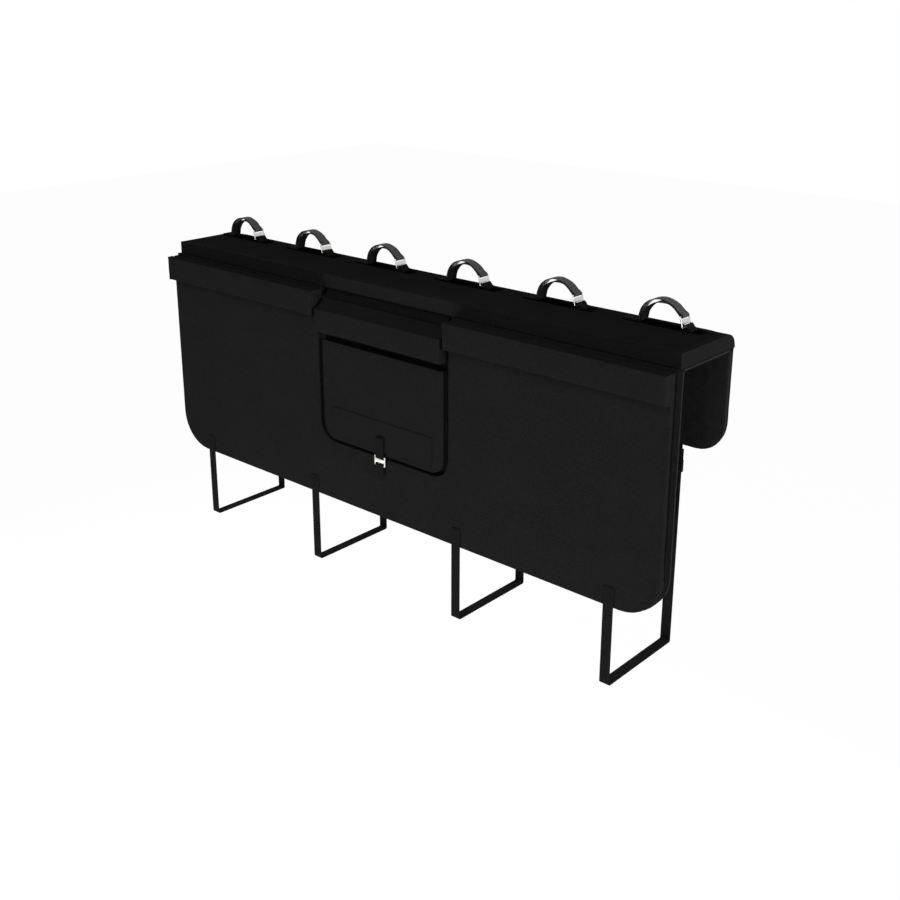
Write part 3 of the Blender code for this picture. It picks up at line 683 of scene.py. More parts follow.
def flat_sheet(node, name, cuts, finish, soft=CLOTH_EDGE):
    """A sheet of cloth or felt: the solid's copy in a grid, with its cut edges a little rounded."""
    sheet = copy_in_grid(node, name, cuts)[0]
    soften(sheet, soft)
    finish_soft(sheet, node, finish)
    print(name, len(sheet.data.polygons), "faces")
    return sheet


def round_corner_loss(radius, corners):
    """The area that round corners take off a rectangle."""
    return corners * (1.0 - math.pi / 4.0) * radius ** 2


FLAP_RADIUS = 0.039
sewn_pad("flap_bumper", "flap_bumper_cover", BUMPER_CUTS, THICK_PUFF, "+Y")
flap_door = sewn_pad("flap_door", "flap_door_cover", {"X": (0.003, 0.009), "Z": (0.003, 0.009)},
                     THIN_PUFF, "+Y")
flap_patch = flat_sheet("flap_patch", "flap_patch_cloth", {"X": (0.003, 0.012), "Z": (0.003, 0.008)},
                        packcloth_black,
                        soft=PATCH_EDGE)
# The cloth turns round under the top pad, so its cut length is its drop and its turn, less the corner.
# Painted shade: the backing is seen only in the gaps round the door, so it gets the darker copy of the cloth.
flat_sheet("flap_backing", "flap_backing_cloth", {"X": (0.004, 0.016), "Z": (0.004, 0.014)},
           packcloth_painted_shade)

# %% [markdown]
# The lining is needle felt, cut as one sheet for each face of the tailgate. The front one has a window
# behind the flap, so that a hand reaches the tailgate's handle.

# %% Lining
LINING_EDGE = 0.0006
LINING_CORNERS = {"back": 0.062, "front": 0.087}
WINDOW_WIDTH, WINDOW_HEIGHT, WINDOW_RADIUS = 0.350, 0.275, 0.030
flat_sheet("lining_top", "lining_top_felt", {"X": (0.006, 0.030), "Y": (0.006, 0.024)}, felt_charcoal,
           soft=LINING_EDGE)
for side, radius in LINING_CORNERS.items():
    size = size_of("lining_" + side)
    area = size.x * size.z - round_corner_loss(radius, 2)
    if side == "front":
        area -= WINDOW_WIDTH * WINDOW_HEIGHT - round_corner_loss(WINDOW_RADIUS, 4)
    flat_sheet("lining_" + side, "lining_" + side + "_felt", {"X": (0.006, 0.030), "Z": (0.006, 0.024)},
               felt_charcoal,
               soft=LINING_EDGE)

# %% [markdown]
# A strap could be a curve with a flat bevel, but then its map and its tight turns are hard to steer. So
# each one gets a path first: the middle line of its webbing, with arcs where it turns round a bar and a
# smooth curve where it hangs free. Webbing is 2 mm thick, and a seam's gap of 0.3 mm lies between it
# and whatever it is sewn to.

# %% Paths for the straps
WEBBING = 0.002
SEAM = 0.0003


def arc(centre, radius, start, end, steps):
    """Points on an arc, from one angle to another in degrees."""
    turns = [math.radians(start + (end - start) * i / steps) for i in range(steps + 1)]
    return [(centre[0] + radius * math.cos(t), centre[1] + radius * math.sin(t)) for t in turns]


def smooth_curve(points, steps=6):
    """A smooth curve through a few points, the ends included."""
    padded = [points[0]] + list(points) + [points[-1]]
    curve = []
    for a, b, c, d in zip(padded, padded[1:], padded[2:], padded[3:]):
        for i in range(steps):
            t = i / steps
            curve.append(tuple(0.5 * (2 * q + (r - p) * t + (2 * p - 5 * q + 4 * r - s) * t * t
                                      + (3 * q - p - 3 * r + s) * t * t * t)
                               for p, q, r, s in zip(a, b, c, d)))
    curve.append(tuple(points[-1]))
    return curve


def offset_point(path, i, distance):
    """The path's point i, moved sideways with a mitre, to the left of the way the path runs."""
    before, here, after = (Vector(path[i + step]) for step in (-1, 0, 1))
    first = (here - before).normalized()
    second = (after - here).normalized()
    normal = Vector((-first.y - second.y, first.x + second.x))
    return tuple(here + normal * (2.0 * distance / normal.length_squared))


def round_bar(centre, half_depth, half_height, corners, steps=5):
    """Webbing's middle line round a flat bar, past the corners named by their start and end angles."""
    path = []
    for start, end in corners:
        middle = math.radians((start + end) / 2)
        corner = (centre[0] + math.copysign(half_depth, math.cos(middle)),
                  centre[1] + math.copysign(half_height, math.sin(middle)))
        path += arc(corner, SEAM + WEBBING / 2, start, end, steps)
    return path


def tilted(points, origin, degrees):
    """Points in a slide's own plane, brought to where the slide leans."""
    turn = math.radians(degrees)
    return [(origin[0] + x * math.cos(turn) - z * math.sin(turn),
             origin[1] + x * math.sin(turn) + z * math.cos(turn)) for x, z in points]


def evenly(path, spacing):
    """The path with points added so that none are further apart than the spacing."""
    dense = [path[0]]
    for a, b in zip(path, path[1:]):
        if math.dist(a, b) < TOUCH:
            continue
        count = max(1, math.ceil(math.dist(a, b) / spacing))
        dense += [tuple(p + (q - p) * i / count for p, q in zip(a, b)) for i in range(1, count + 1)]
    return dense


print("a turn round a bar:", len(round_bar((0.0, 0.0), 0.001, 0.0015, ((0.0, 90.0),))), "points")

# %% [markdown]
# Each strap is a primitive grid whose rows of points are laid along the path. Solidify gives it its
# thickness and Bevel its soft selvedges. Its map is written while it is laid, in metres along it and
# across it, for the webbing's ribs. It is drawn 0.4 mm narrower and 0.2 mm thinner than its solid, so
# that it stays clear of its neighbours. What repeats is shaped once and copied to its places.

# %% Laying a strap
WEBBING_WIDTH = 0.0254
STRAP_THICKNESS = 0.0018
SIDE_PLAY = 0.0004
SELVEDGE = 0.0005
SELVEDGE_LIMIT = math.radians(60.0)
STRAP_COLUMNS = 6
STRAP_SPACING = 0.005
FINE_SPACING = 0.003


def strap(name, path, width, across, finish, thickness=STRAP_THICKNESS, spacing=STRAP_SPACING):
    """A strap laid along a path in Y and Z (across is X) or in X and Z (across is Y), about the origin."""
    path = evenly(path, spacing)
    deselect_all()
    bpy.ops.mesh.primitive_grid_add(x_subdivisions=len(path) - 1, y_subdivisions=STRAP_COLUMNS, size=1.0)
    made = bpy.context.active_object
    made.name = name
    made.data.name = name
    vertices = made.data.vertices
    order = sorted(range(len(vertices)),
                   key=lambda i: (round(vertices[i].co.x, 5), round(vertices[i].co.y, 5)))
    travelled = [0.0]
    for a, b in zip(path, path[1:]):
        travelled.append(travelled[-1] + math.dist(a, b))
    spot = {}
    for rank, index in enumerate(order):
        row, column = divmod(rank, STRAP_COLUMNS + 1)
        side = (column / STRAP_COLUMNS - 0.5) * (width - SIDE_PLAY)
        a, b = path[row]
        spot[index] = (travelled[row], side)
        vertices[index].co = (a, side, b) if across == "Y" else (side, a, b)
    layer = made.data.uv_layers[0]
    layer.name = "along"
    for loop in made.data.loops:
        layer.data[loop.index].uv = spot[loop.vertex_index]
    thick = made.modifiers.new("thickness", "SOLIDIFY")
    thick.thickness = thickness
    thick.offset = 0.0
    bpy.ops.object.modifier_apply(modifier=thick.name)
    soften(made, SELVEDGE, limit=SELVEDGE_LIMIT)
    bpy.ops.object.mode_set(mode="EDIT")
    bpy.ops.mesh.select_all(action="SELECT")
    bpy.ops.mesh.normals_make_consistent(inside=False)
    bpy.ops.object.mode_set(mode="OBJECT")
    made.data.materials.append(finish)
    bpy.ops.object.shade_smooth_by_angle(angle=CRISP_FOLD)
    return made


def copy_to(model, name, matrix, node):
    """A copy of a finished piece with its own mesh, at its place, standing for a node."""
    mesh = model.data.copy()
    mesh.name = name
    mesh.transform(matrix)
    placed = place_in_scene(name, mesh)
    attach(placed, "root")
    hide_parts(node)


def drop_models(*models):
    """The models have been copied to their places and aren't needed any more."""
    for model in models:
        bpy.data.objects.remove(model)


def surface_of(mesh):
    """A mesh's surface, ready to be met by rays."""
    copied = bmesh.new()
    copied.from_mesh(mesh)
    tree = BVHTree.FromBMesh(copied)
    copied.free()
    return tree


print("webbing:", WEBBING_WIDTH, "wide, drawn", STRAP_THICKNESS, "thick")

# %% [markdown]
# A bicycle loop is one length of webbing. It is sewn to the tape at the left, rises as an arch, turns
# round the slide's upper bar and comes back over itself. Between the left shoulder and the top of the
# arch the two layers stand apart, and one sees the background through that slit. The arch is drawn
# through points at shares of its span and height, as in the solid. The photograph shows the webbing's
# foot and the keeper a little shorter than the solids have them, so each is cut back.

# %% A bicycle loop's path
LOOP_SPAN = 0.092
LOOP_RISE = 0.052
LOOP_SLACK = 0.0060
LOOP_SEWN_INSET = 0.010
FOOT_CUT = 0.006
KEEPER_CUT = 0.012
SLIDE_HEIGHT = 0.0245
SLIDE_BAR = 0.003
SLIDE_THICKNESS = 0.002
SLIDE_LEAN = 15.0
BAR_OFFSET = (SLIDE_HEIGHT - SLIDE_BAR) / 2

base_low, base_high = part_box("loop_base_1")
base_middle = (base_low + base_high) / 2
half_base = (base_high.x - base_low.x) / 2
laid_level = base_high.z + SEAM + WEBBING / 2
foot_end = -(half_base - LOOP_SEWN_INSET) + FOOT_CUT
keeper_end = half_base - LOOP_SEWN_INSET - KEEPER_CUT
first_slide = middle_of("loop_slide_1")
slide_at = (first_slide.x - base_middle.x, first_slide.z)


def bike_loop_path():
    left = -LOOP_SPAN / 2
    inside = left + WEBBING + LOOP_SLACK
    lay = WEBBING + SEAM
    top = laid_level + LOOP_RISE
    turn = round_bar((0.0, BAR_OFFSET), SLIDE_THICKNESS / 2, SLIDE_BAR / 2, ((180.0, 270.0), (270.0, 360.0)))
    turn = tilted(turn, slide_at, SLIDE_LEAN)
    bend = 3 * WEBBING
    arch = top - LOOP_SLACK - laid_level
    lower = [(inside - bend, laid_level), (inside - 0.3 * bend, laid_level + 0.35 * bend),
             (inside, laid_level + 1.4 * bend)]
    lower += [(inside + along * LOOP_SPAN, laid_level + up * arch)
              for along, up in ((0.030, 0.42), (0.140, 0.72), (0.300, 0.93))]
    lower += [(along * LOOP_SPAN, laid_level + up * arch)
              for along, up in ((0.060, 1.0), (0.235, 0.985), (0.355, 0.860), (0.455, 0.680))] + [turn[0]]
    upper = tilted([(SLIDE_THICKNESS / 2 + lay - WEBBING / 2, SLIDE_HEIGHT / 2 + WEBBING / 2)],
                   slide_at, SLIDE_LEAN)
    upper += [offset_point(lower, len(lower) - 2 - i, lay * (1.45 - 0.15 * i)) for i in range(3)]
    upper += [(along * LOOP_SPAN, top - down * arch)
              for along, down in ((0.060, 0.0), (-0.130, 0.040), (-0.300, 0.200), (-0.430, 0.480))]
    upper += [(left + 0.2 * WEBBING, laid_level + 0.30 * arch), (left, laid_level + SEAM + WEBBING)]
    return [(foot_end, laid_level)] + smooth_curve(lower) + turn[1:-1] + smooth_curve([turn[-1]] + upper)


loop_path = bike_loop_path()
print("webbing in one loop:", round(sum(map(math.dist, loop_path, loop_path[1:])), 3), "m")

# %% [markdown]
# The light catches the outside of an arch, and the inside stays dark. That light and shade is painted:
# the faces get their own finishes, a painted highlight outside and painted shade inside, and a ray
# from each face tells whether the other layer of webbing lies just before it.

# %% The finishes of a loop
SELVEDGE_FACING = 0.5


def paint_loop_shade(model):
    """Three finishes on a loop. The arch's outer side and the faces between its two layers keep the painted
    highlight, the inner side and the part that is sewn down get the painted shade, and the selvedges are
    black."""
    centre = Vector((0.0, 0.0, laid_level + 0.4 * LOOP_RISE))
    tree = surface_of(model.data)

    def is_painted_shade(face):
        outer = face.normal.dot(face.center - centre) > 0.0
        start = face.center + face.normal * STRAP_THICKNESS / 4
        between_layers = tree.ray_cast(start, face.normal, 2 * LOOP_SLACK)[0] is not None
        return not (outer or between_layers) or face.center.z < laid_level + 2 * WEBBING

    finish_faces(model, webbing_painted_midtone, is_painted_shade)
    finish_faces(model, webbing_black, lambda face: abs(face.normal.y) > SELVEDGE_FACING)


# The loop starts in the painted highlight; its insides and foot then get the painted shade.
loop_model = strap("loop_model", loop_path, WEBBING_WIDTH, "Y", webbing_painted_highlight, spacing=FINE_SPACING)
paint_loop_shade(loop_model)
print("a loop has", len(loop_model.data.polygons), "faces in", len(loop_model.data.materials), "finishes")

# %% [markdown]
# A short keeper holds the slide down: it is sewn on the tape, goes round the slide's lower bar and humps
# over itself. Tape, loop and keeper are then copied to the six places.

# %% Keepers, tape and the six copies
LOOP_COUNT = 6
KEEPER_HUMP = 0.0035
TAPE_THICKNESS = 0.0019
TAPE_MARGIN = 0.002


def keeper_path():
    """From the sewn end under the slide's lower bar, round it and back over itself."""
    over = laid_level + WEBBING + SEAM
    turn = round_bar((0.0, -BAR_OFFSET), SLIDE_THICKNESS / 2, SLIDE_BAR / 2,
                     ((270.0, 180.0), (180.0, 90.0), (90.0, 45.0)))
    turn = tilted(turn, slide_at, SLIDE_LEAN)
    start_x, start_z = turn[-1]
    hump = start_z + KEEPER_HUMP
    run = keeper_end - start_x
    under = [(keeper_end, laid_level), (turn[0][0] + 0.30 * run, laid_level), turn[0]]
    back = [turn[-1], (start_x + 0.16 * run, hump), (start_x + 0.34 * run, hump - 0.20 * (hump - over)),
            (start_x + 0.58 * run, over + 0.22 * (hump - over)), (start_x + 0.76 * run, over),
            (keeper_end, over)]
    return smooth_curve(under) + turn[1:-1] + smooth_curve(back)


tape_path = [(foot_end - TAPE_MARGIN, base_middle.z), (half_base - TAPE_MARGIN, base_middle.z)]
tape_model = strap("tape_model", tape_path, base_high.y - base_low.y, "Y", hook_tape_black,
                   thickness=TAPE_THICKNESS)
keeper_model = strap("keeper_model", keeper_path(), WEBBING_WIDTH, "Y", webbing_black, spacing=FINE_SPACING)
loop_places = []
for number in range(1, LOOP_COUNT + 1):
    place = middle_of(f"loop_base_{number}")
    loop_places.append(place)
    shift = Matrix.Translation((place.x, place.y, 0.0))
    copy_to(tape_model, f"loop_tape_{number}", shift, f"loop_base_{number}")
    copy_to(loop_model, f"bicycle_loop_{number}", shift, f"bike_loop_{number}")
    copy_to(keeper_model, f"keeper_strip_{number}", shift, f"slide_keeper_{number}")
drop_models(tape_model, loop_model, keeper_model)
print("loops at x =", [round(place.x, 4) for place in loop_places])

# %% [markdown]
# A slide is stamped from steel strip: a rounded plate with two slots and a bar between them. A plane is
# cut at the slots' edges, the slots' faces are deleted, and the rest is extruded to the strip's
# thickness. The outer corners get a wide bevel and all the rims a narrow one, so that no edge cuts the
# webbing. It leans on the loop, and one more hangs upright at the flap.

# %% Slides
RIM_LIMIT = math.radians(35.0)


def into_edit_mode(thing, kind, wanted):
    """Opens a piece in edit mode with those of its edges or polygons selected for which wanted is true."""
    bpy.context.tool_settings.mesh_select_mode = (False, kind == "edges", kind == "polygons")
    for parts in (thing.data.vertices, thing.data.edges, thing.data.polygons):
        parts.foreach_set("select", [False] * len(parts))
    for part in getattr(thing.data, kind):
        part.select = wanted(part)
    bpy.ops.object.mode_set(mode="EDIT")


def slotted_plate(name, size, bar, slot, corner, rim, finish):
    """A plate with two slots, in the plane of X and Z, centred on the origin. size is its width, height
    and thickness, bar the height of its outer bars, and slot the width and height of a slot."""
    width, height, thickness = size
    slot_top = height / 2 - bar
    slot_bottom = slot_top - slot[1]
    deselect_all()
    bpy.ops.mesh.primitive_plane_add(size=1.0)
    plate = bpy.context.active_object
    plate.name = name
    plate.data.name = name
    bpy.ops.object.mode_set(mode="EDIT")
    bpy.ops.mesh.select_all(action="SELECT")
    bpy.ops.transform.resize(value=(width, height, 1.0))
    cuts = [((side * slot[0] / 2, 0.0, 0.0), (1.0, 0.0, 0.0)) for side in (-1, 1)]
    cuts += [((0.0, side * level, 0.0), (0.0, 1.0, 0.0)) for side in (-1, 1)
             for level in (slot_top, slot_bottom)]
    for point, normal in cuts:
        bpy.ops.mesh.select_all(action="SELECT")
        bpy.ops.mesh.bisect(plane_co=point, plane_no=normal)
    bpy.ops.object.mode_set(mode="OBJECT")
    into_edit_mode(plate, "polygons", lambda face: abs(face.center.x) < slot[0] / 2
                   and slot_bottom < abs(face.center.y) < slot_top)
    bpy.ops.mesh.delete(type="FACE")
    bpy.ops.mesh.select_mode(type="VERT")
    bpy.ops.mesh.select_all(action="SELECT")
    bpy.ops.mesh.extrude_region_move(TRANSFORM_OT_translate={"value": (0.0, 0.0, thickness)})
    bpy.ops.mesh.select_all(action="SELECT")
    bpy.ops.transform.translate(value=(0.0, 0.0, -thickness / 2))
    bpy.ops.mesh.normals_make_consistent(inside=False)
    bpy.ops.mesh.dissolve_limited(angle_limit=FLAT_FOLD)
    bpy.ops.object.mode_set(mode="OBJECT")
    points = plate.data.vertices
    into_edit_mode(plate, "edges", lambda edge: abs(points[edge.vertices[0]].co.x) > width / 2 - TOUCH
                   and abs(points[edge.vertices[0]].co.z - points[edge.vertices[1]].co.z) > thickness / 2)
    bpy.ops.mesh.bevel(offset=corner, segments=4, affect="EDGES", profile=0.5)
    bpy.ops.mesh.select_mode(type="VERT")
    bpy.ops.object.mode_set(mode="OBJECT")
    soften(plate, rim, segments=3)
    plate.data.transform(Matrix.Rotation(math.radians(90.0), 4, "X"))
    plate.data.materials.append(finish)
    bpy.ops.object.shade_smooth_by_angle(angle=RIM_LIMIT)
    return plate


SLIDE_WIDTH = 0.035
SLIDE_SLOT = (0.0268, 0.0045)
SLIDE_CORNER = 0.0022
SLIDE_RIM = 0.0006
slide_model = slotted_plate("slide_model", (SLIDE_WIDTH, SLIDE_HEIGHT, SLIDE_THICKNESS), SLIDE_BAR,
                            SLIDE_SLOT, SLIDE_CORNER, SLIDE_RIM, nickel_bright)
lean = Matrix.Rotation(-math.radians(SLIDE_LEAN), 4, "Y") @ Matrix.Rotation(math.radians(90.0), 4, "Z")
for number in range(1, LOOP_COUNT + 1):
    place = Matrix.Translation(middle_of(f"loop_slide_{number}"))
    copy_to(slide_model, f"nickel_slide_{number}", place @ lean, f"loop_slide_{number}")
flap_slide = middle_of("flap_slide")
copy_to(slide_model, "flap_nickel_slide", Matrix.Translation(flap_slide), "flap_slide")
drop_models(slide_model)
print("slides:", LOOP_COUNT + 1)

# %% [markdown]
# A ladder buckle is moulded, but its form is the same slotted plate, with four ridges where the thumb
# pushes. The webbing nearly fills its slots in the photograph, so they are drawn narrower than the
# solid's. Each ridge is a small bar with rounded edges that is joined to the plate.

# %% Buckles
STRAP_COUNT = 4
BUCKLE_BAR = 0.0035
BUCKLE_SLOT = (0.0312, 0.0029)
BUCKLE_CORNER = 0.0030
BUCKLE_RIM = 0.0005
RIDGES = 4
RIDGE_SPACING = 0.0020
RIDGE_SIZE = (0.024, 0.0011, 0.0009)
RIDGE_PROUD = 0.0002
RIDGE_EDGE = 0.0003
buckle_size = size_of("tail_buckle_1")
buckle_model = slotted_plate("buckle_model", (buckle_size.x, buckle_size.z, buckle_size.y), BUCKLE_BAR,
                             BUCKLE_SLOT, BUCKLE_CORNER, BUCKLE_RIM, acetal_black)
for row in range(RIDGES):
    deselect_all()
    bpy.ops.mesh.primitive_cube_add(size=1.0)
    ridge = bpy.context.active_object
    ridge.data.transform(Matrix.Diagonal((*RIDGE_SIZE, 1.0)))
    level = (row - (RIDGES - 1) / 2) * RIDGE_SPACING
    ridge.data.transform(Matrix.Translation((0.0, buckle_size.y / 2 + RIDGE_PROUD, level)))
    soften(ridge, RIDGE_EDGE)
    ridge.data.materials.append(acetal_black)
    buckle_model.select_set(True)
    bpy.context.view_layer.objects.active = buckle_model
    bpy.ops.object.join()
for number in range(1, STRAP_COUNT + 1):
    copy_to(buckle_model, f"ladder_buckle_{number}", Matrix.Translation(middle_of(f"tail_buckle_{number}")),
            f"tail_buckle_{number}")
drop_models(buckle_model)
print("buckles:", STRAP_COUNT)

# %% [markdown]
# Under the tailgate run four loops. Each is sewn to the outer pad's lower border, goes down and under,
# rises at the back and turns through a buckle that hangs from a wider tab. The photograph shows the
# upper side of the level stretch a little lighter, so its faces get painted light: the lighter mid-tone
# webbing of the bicycle loops' insides.

# %% Under loops and tabs
BEND = 0.004
BUCKLE_TAIL = 0.045
UNDER_FRONT_TOP = -0.4742
TAB_FOLD_TOP = -0.240
UNDER_SPACING = 0.008
under_low, under_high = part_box("under_loop_1")
tab_low, tab_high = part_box("rear_tab_1")
buckle_middle = middle_of("tail_buckle_1")
front_y = under_low.y + WEBBING / 2
rear_y = under_high.y - WEBBING / 2
tab_y = tab_low.y + WEBBING / 2
under_floor = under_low.z + WEBBING / 2
buckle_offset = (buckle_size.z - BUCKLE_BAR) / 2
lower_turn = round_bar((buckle_middle.y, buckle_middle.z - buckle_offset), buckle_size.y / 2, BUCKLE_BAR / 2,
                       ((0.0, 90.0), (90.0, 180.0)))
upper_turn = round_bar((buckle_middle.y, buckle_middle.z + buckle_offset), buckle_size.y / 2, BUCKLE_BAR / 2,
                       ((180.0, 270.0), (270.0, 360.0)))
under_path = [(front_y, UNDER_FRONT_TOP)]
under_path += arc((front_y + BEND, under_floor + BEND), BEND, 180.0, 270.0, 6)
under_path += arc((rear_y - BEND, under_floor + BEND), BEND, 270.0, 360.0, 6)
under_path += lower_turn + [(tab_y, buckle_middle.z - buckle_offset - BUCKLE_BAR / 2 - BUCKLE_TAIL)]
tab_path = [(tab_y, tab_high.z)] + upper_turn + [(rear_y, TAB_FOLD_TOP)]
under_model = strap("under_model", under_path, WEBBING_WIDTH, "X", webbing_black, spacing=UNDER_SPACING)
# Painted light: the upward faces of the level stretch get the lighter mid-tone webbing.
finish_faces(under_model, webbing_painted_midtone, lambda face: face.normal.z > FACING)
tab_model = strap("tab_model", tab_path, tab_high.x - tab_low.x, "X", webbing_black)
for number in range(1, STRAP_COUNT + 1):
    shift = Matrix.Translation((middle_of(f"under_loop_{number}").x, 0.0, 0.0))
    copy_to(under_model, f"under_strap_{number}", shift, f"under_loop_{number}")
    copy_to(tab_model, f"buckle_tab_{number}", shift, f"rear_tab_{number}")
drop_models(under_model, tab_model)
print("under loops reach down to", round(under_low.z, 4))

# %% [markdown]
# The flap is held shut by a short strap. It is sewn on the patch and folded round the slide's upper
# bar. A keeper that is sewn on the outer pad is folded round the lower one.

# %% Flap strap
strap_low, strap_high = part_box("flap_strap")
keeper_low, keeper_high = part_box("flap_keeper")
back_y = strap_high.y - WEBBING / 2
fold_y = strap_low.y + WEBBING / 2
pad_y = keeper_high.y - WEBBING / 2
keeper_foot = keeper_low.z
upper_fold = round_bar((flap_slide.y, flap_slide.z + BAR_OFFSET), SLIDE_THICKNESS / 2, SLIDE_BAR / 2,
                       ((360.0, 270.0), (270.0, 180.0)))
lower_fold = round_bar((flap_slide.y, flap_slide.z - BAR_OFFSET), SLIDE_THICKNESS / 2, SLIDE_BAR / 2,
                       ((0.0, 90.0), (90.0, 180.0)))
strap_path = [(back_y, strap_high.z)] + upper_fold + [(fold_y, strap_high.z)]
rise_end = keeper_foot + (lower_fold[0][1] - keeper_foot) / 3
flap_keeper_path = [(pad_y, keeper_foot), (pad_y, rise_end)] + lower_fold + [(fold_y, keeper_foot)]
for node, path in (("flap_strap", strap_path), ("flap_keeper", flap_keeper_path)):
    model = strap(node + "_model", path, WEBBING_WIDTH, "X", webbing_black, spacing=FINE_SPACING)
    copy_to(model, node + "_webbing", Matrix.Identity(4), node)
    drop_models(model)
print("flap strap folds at", round(flap_slide.z + BAR_OFFSET, 4))

# %% [markdown]
# The stitching is what holds it all. One stitch is a small slim bead, 4 mm long. It is copied along
# every seam and seated on the cloth by a ray, so that the thread follows each pad's swelling.

# %% One stitch and how it is sewn
STITCH = 0.0040
STITCH_PITCH = 0.0055
THREAD = 0.0009
RAY_START = 0.03
RAY_REACH = 0.05

deselect_all()
bpy.ops.mesh.primitive_uv_sphere_add(segments=6, ring_count=4, radius=0.5)
stitch = bpy.context.active_object
stitch.data.transform(Matrix.Rotation(math.radians(90.0), 4, "Y"))
stitch.data.transform(Matrix.Diagonal((STITCH, THREAD, THREAD, 1.0)))


def sew(name, rows, cloth=None, pitch=STITCH_PITCH):
    """Copies the stitch along rows. A row is its points and the direction away from the cloth. Where a
    cloth is given, each stitch is seated on it."""
    bm = bmesh.new()
    tree = None if cloth is None else surface_of(cloth.data)
    count = 0
    for points, outward in rows:
        outward = Vector(outward)
        points = [Vector(p) for p in points]
        travelled = 0.0
        due = pitch / 2
        for a, b in zip(points, points[1:]):
            length = (b - a).length
            if length < 1e-6:
                continue
            way = (b - a).normalized()
            while due <= travelled + length:
                spot = a + way * (due - travelled)
                due += pitch
                normal = outward
                if tree is not None:
                    found, slope = tree.ray_cast(spot + outward * RAY_START, -outward, RAY_REACH)[:2]
                    if found is None:
                        continue
                    spot = found
                    normal = slope if slope.dot(outward) > 0 else outward
                across = normal.cross(way).normalized()
                along = across.cross(normal).normalized()
                turn = Matrix((along, across, normal)).transposed().to_4x4()
                first = len(bm.verts)
                bm.from_mesh(stitch.data)
                bm.verts.ensure_lookup_table()
                bmesh.ops.transform(bm, matrix=Matrix.Translation(spot) @ turn, verts=bm.verts[first:])
                count += 1
            travelled += length
    mesh = bpy.data.meshes.new(name)
    bm.to_mesh(mesh)
    bm.free()
    mesh.materials.append(thread_black)
    mesh.shade_smooth()
    made = place_in_scene(name, mesh)
    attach(made, "root")
    print(name, count, "stitches")


print("one stitch:", len(stitch.data.polygons), "faces")

# %% [markdown]
# A hanging pad is sewn round its sides and its round lower corners, 8 mm inside its edge. The front has
# a second row round the opening, the door and the patch are sewn all round, and the top pad has a row
# along each border and one before its roll.

# %% Seams of the pads
def hanging_row(low, high, inset, radius, outward, top=None, closed=False):
    """A seam along the sides and the round lower corners of a hanging pad. It lies on the side of the
    pad's box that outward points to."""
    left, right = low.x + inset, high.x - inset
    bottom = low.z + inset
    bend = radius - inset
    top = high.z - inset if top is None else top
    outline = [(left, top)] + arc((left + bend, bottom + bend), bend, 180.0, 270.0, 12)
    outline += arc((right - bend, bottom + bend), bend, 270.0, 360.0, 12) + [(right, top)]
    if closed:
        outline.append(outline[0])
    y = (high if outward == REAR else low).y
    return ([(x, y, z) for x, z in outline], outward)


FRONT = (0.0, -1.0, 0.0)
REAR = (0.0, 1.0, 0.0)
UP = (0.0, 0.0, 1.0)
PAD_INSET = 0.008
PATCH_INSET = 0.003
OUTER_RADIUS = 0.090
OPENING_BOTTOM = -0.3682
OPENING_RADIUS = 0.050
BACK_RADIUS = 0.065
BACK_SEAM_TOP = -0.006
PATCH_RADIUS = 0.012
TOP_ROLL = 0.033
ROLL_SEAM = 0.002
BUMPER_SEAM = 0.004
outer_low, outer_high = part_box("front_outer_pad")
bumper_low, bumper_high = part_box("bumper_left")
below_bumper = bumper_low.z - BUMPER_SEAM
opening_side = -bumper_high.x + 2 * PAD_INSET
opening_low = Vector((-opening_side, outer_low.y, OPENING_BOTTOM - 2 * PAD_INSET))
opening_high = Vector((opening_side, outer_high.y, 0.0))
sew("front_seams", [hanging_row(outer_low, outer_high, PAD_INSET, OUTER_RADIUS, FRONT, below_bumper),
                    hanging_row(opening_low, opening_high, PAD_INSET, OPENING_RADIUS + 2 * PAD_INSET,
                                FRONT, below_bumper)], front_outer)
sew("door_seams", [hanging_row(*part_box("flap_door"), PAD_INSET, FLAP_RADIUS, FRONT, closed=True)],
    flap_door)
sew("patch_seams", [hanging_row(*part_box("flap_patch"), PATCH_INSET, PATCH_RADIUS, FRONT, closed=True)],
    flap_patch)
sew("back_seams", [hanging_row(*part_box("back_pad"), PAD_INSET, BACK_RADIUS, REAR, BACK_SEAM_TOP)],
    back_pad)
top_low, top_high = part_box("top_pad")
left, right, near = top_low.x + PAD_INSET, top_high.x - PAD_INSET, top_low.y + PAD_INSET
roll = top_high.y - TOP_ROLL
rows = [([(left, y, top_high.z), (right, y, top_high.z)], UP) for y in (near, roll - ROLL_SEAM)]
rows += [([(x, near, top_high.z), (x, roll, top_high.z)], UP) for x in (left, right)]
sew("top_seams", rows, top_pad)

# %% [markdown]
# Straps that carry load are sewn down with a box and a cross in it, the strongest pattern that a
# sewing machine makes on webbing.

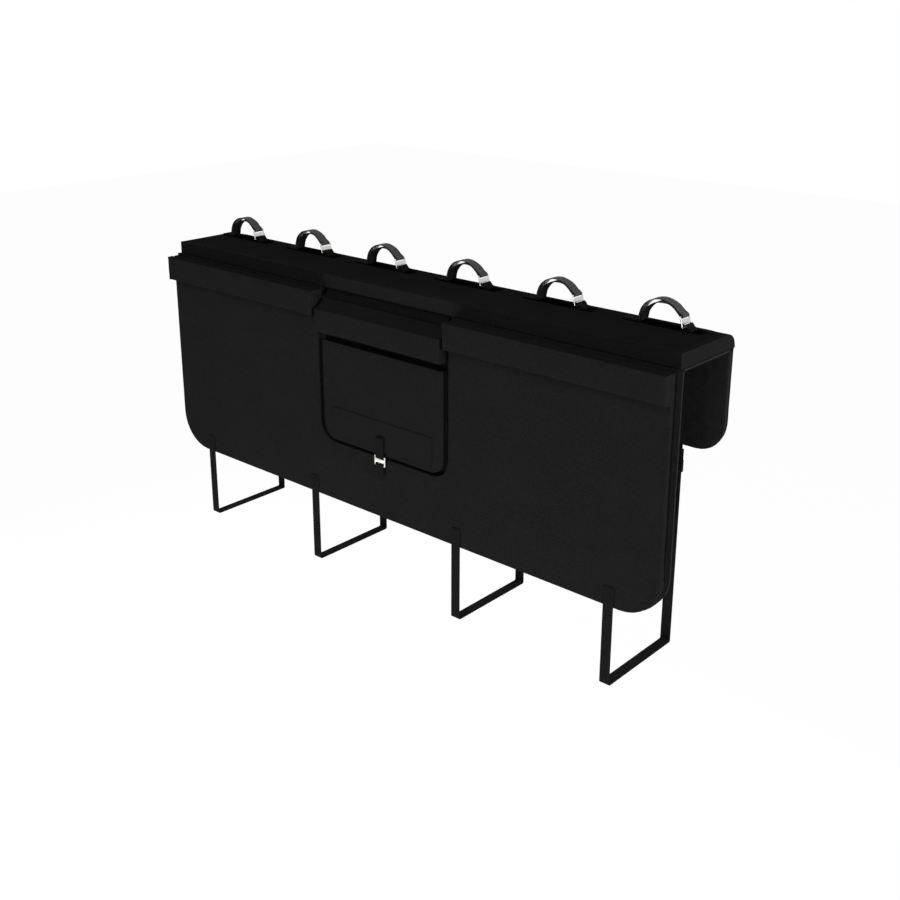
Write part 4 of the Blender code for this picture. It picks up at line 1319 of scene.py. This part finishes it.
# %% Boxes and crosses
def cross_box(centre, half_width, half_length, outward):
    """The rows of one sewn box. The strap runs along X where it lies on the top, and along Z elsewhere."""
    way = Vector((half_length, 0.0, 0.0) if outward == UP else (0.0, 0.0, half_length))
    side = Vector((0.0, half_width, 0.0) if outward == UP else (half_width, 0.0, 0.0))
    centre = Vector(centre)
    corners = [centre - side - way, centre + side - way, centre + side + way, centre - side + way]
    return [(row, outward) for row in (corners + [corners[0]], [corners[0], corners[2]],
                                       [corners[1], corners[3]])]


BOX_HALF = 0.0095
TAB_BOX_HALF = 0.012
BOX_PITCH = 0.0047
# For each box: how far its middle lies from the strap's end, and half its length.
UNDER_BOX, TAB_BOX, FOLD_BOX = (0.016, 0.013), (0.016, 0.012), (0.009, 0.006)
FLAP_BOX, KEEPER_BOX, FOOT_BOX = (0.016, 0.012), (0.008, 0.005), (0.012, 0.009)
lift = STRAP_THICKNESS / 2
rows = []
for number in range(1, STRAP_COUNT + 1):
    x = middle_of(f"under_loop_{number}").x
    rows += cross_box((x, front_y - lift, UNDER_FRONT_TOP - UNDER_BOX[0]), BOX_HALF, UNDER_BOX[1], FRONT)
    rows += cross_box((x, tab_y + lift, tab_high.z - TAB_BOX[0]), TAB_BOX_HALF, TAB_BOX[1], REAR)
    rows += cross_box((x, rear_y + lift, TAB_FOLD_TOP - FOLD_BOX[0]), TAB_BOX_HALF, FOLD_BOX[1], REAR)
sew("under_strap_stitching", rows, pitch=BOX_PITCH)
rows = cross_box((0.0, fold_y - lift, strap_high.z - FLAP_BOX[0]), BOX_HALF, FLAP_BOX[1], FRONT)
rows += cross_box((0.0, fold_y - lift, keeper_foot + KEEPER_BOX[0]), BOX_HALF, KEEPER_BOX[1], FRONT)
sew("flap_strap_stitching", rows, pitch=BOX_PITCH)
rows = []
keeper_level = laid_level + lift + WEBBING + SEAM
for place in loop_places:
    foot_x, keeper_x = place.x + foot_end + FOOT_BOX[0], place.x + keeper_end - KEEPER_BOX[0]
    rows += cross_box((foot_x, place.y, laid_level + lift), BOX_HALF, FOOT_BOX[1], UP)
    rows += cross_box((keeper_x, place.y, keeper_level), BOX_HALF, KEEPER_BOX[1], UP)
sew("loop_stitching", rows, pitch=BOX_PITCH)
drop_models(stitch)
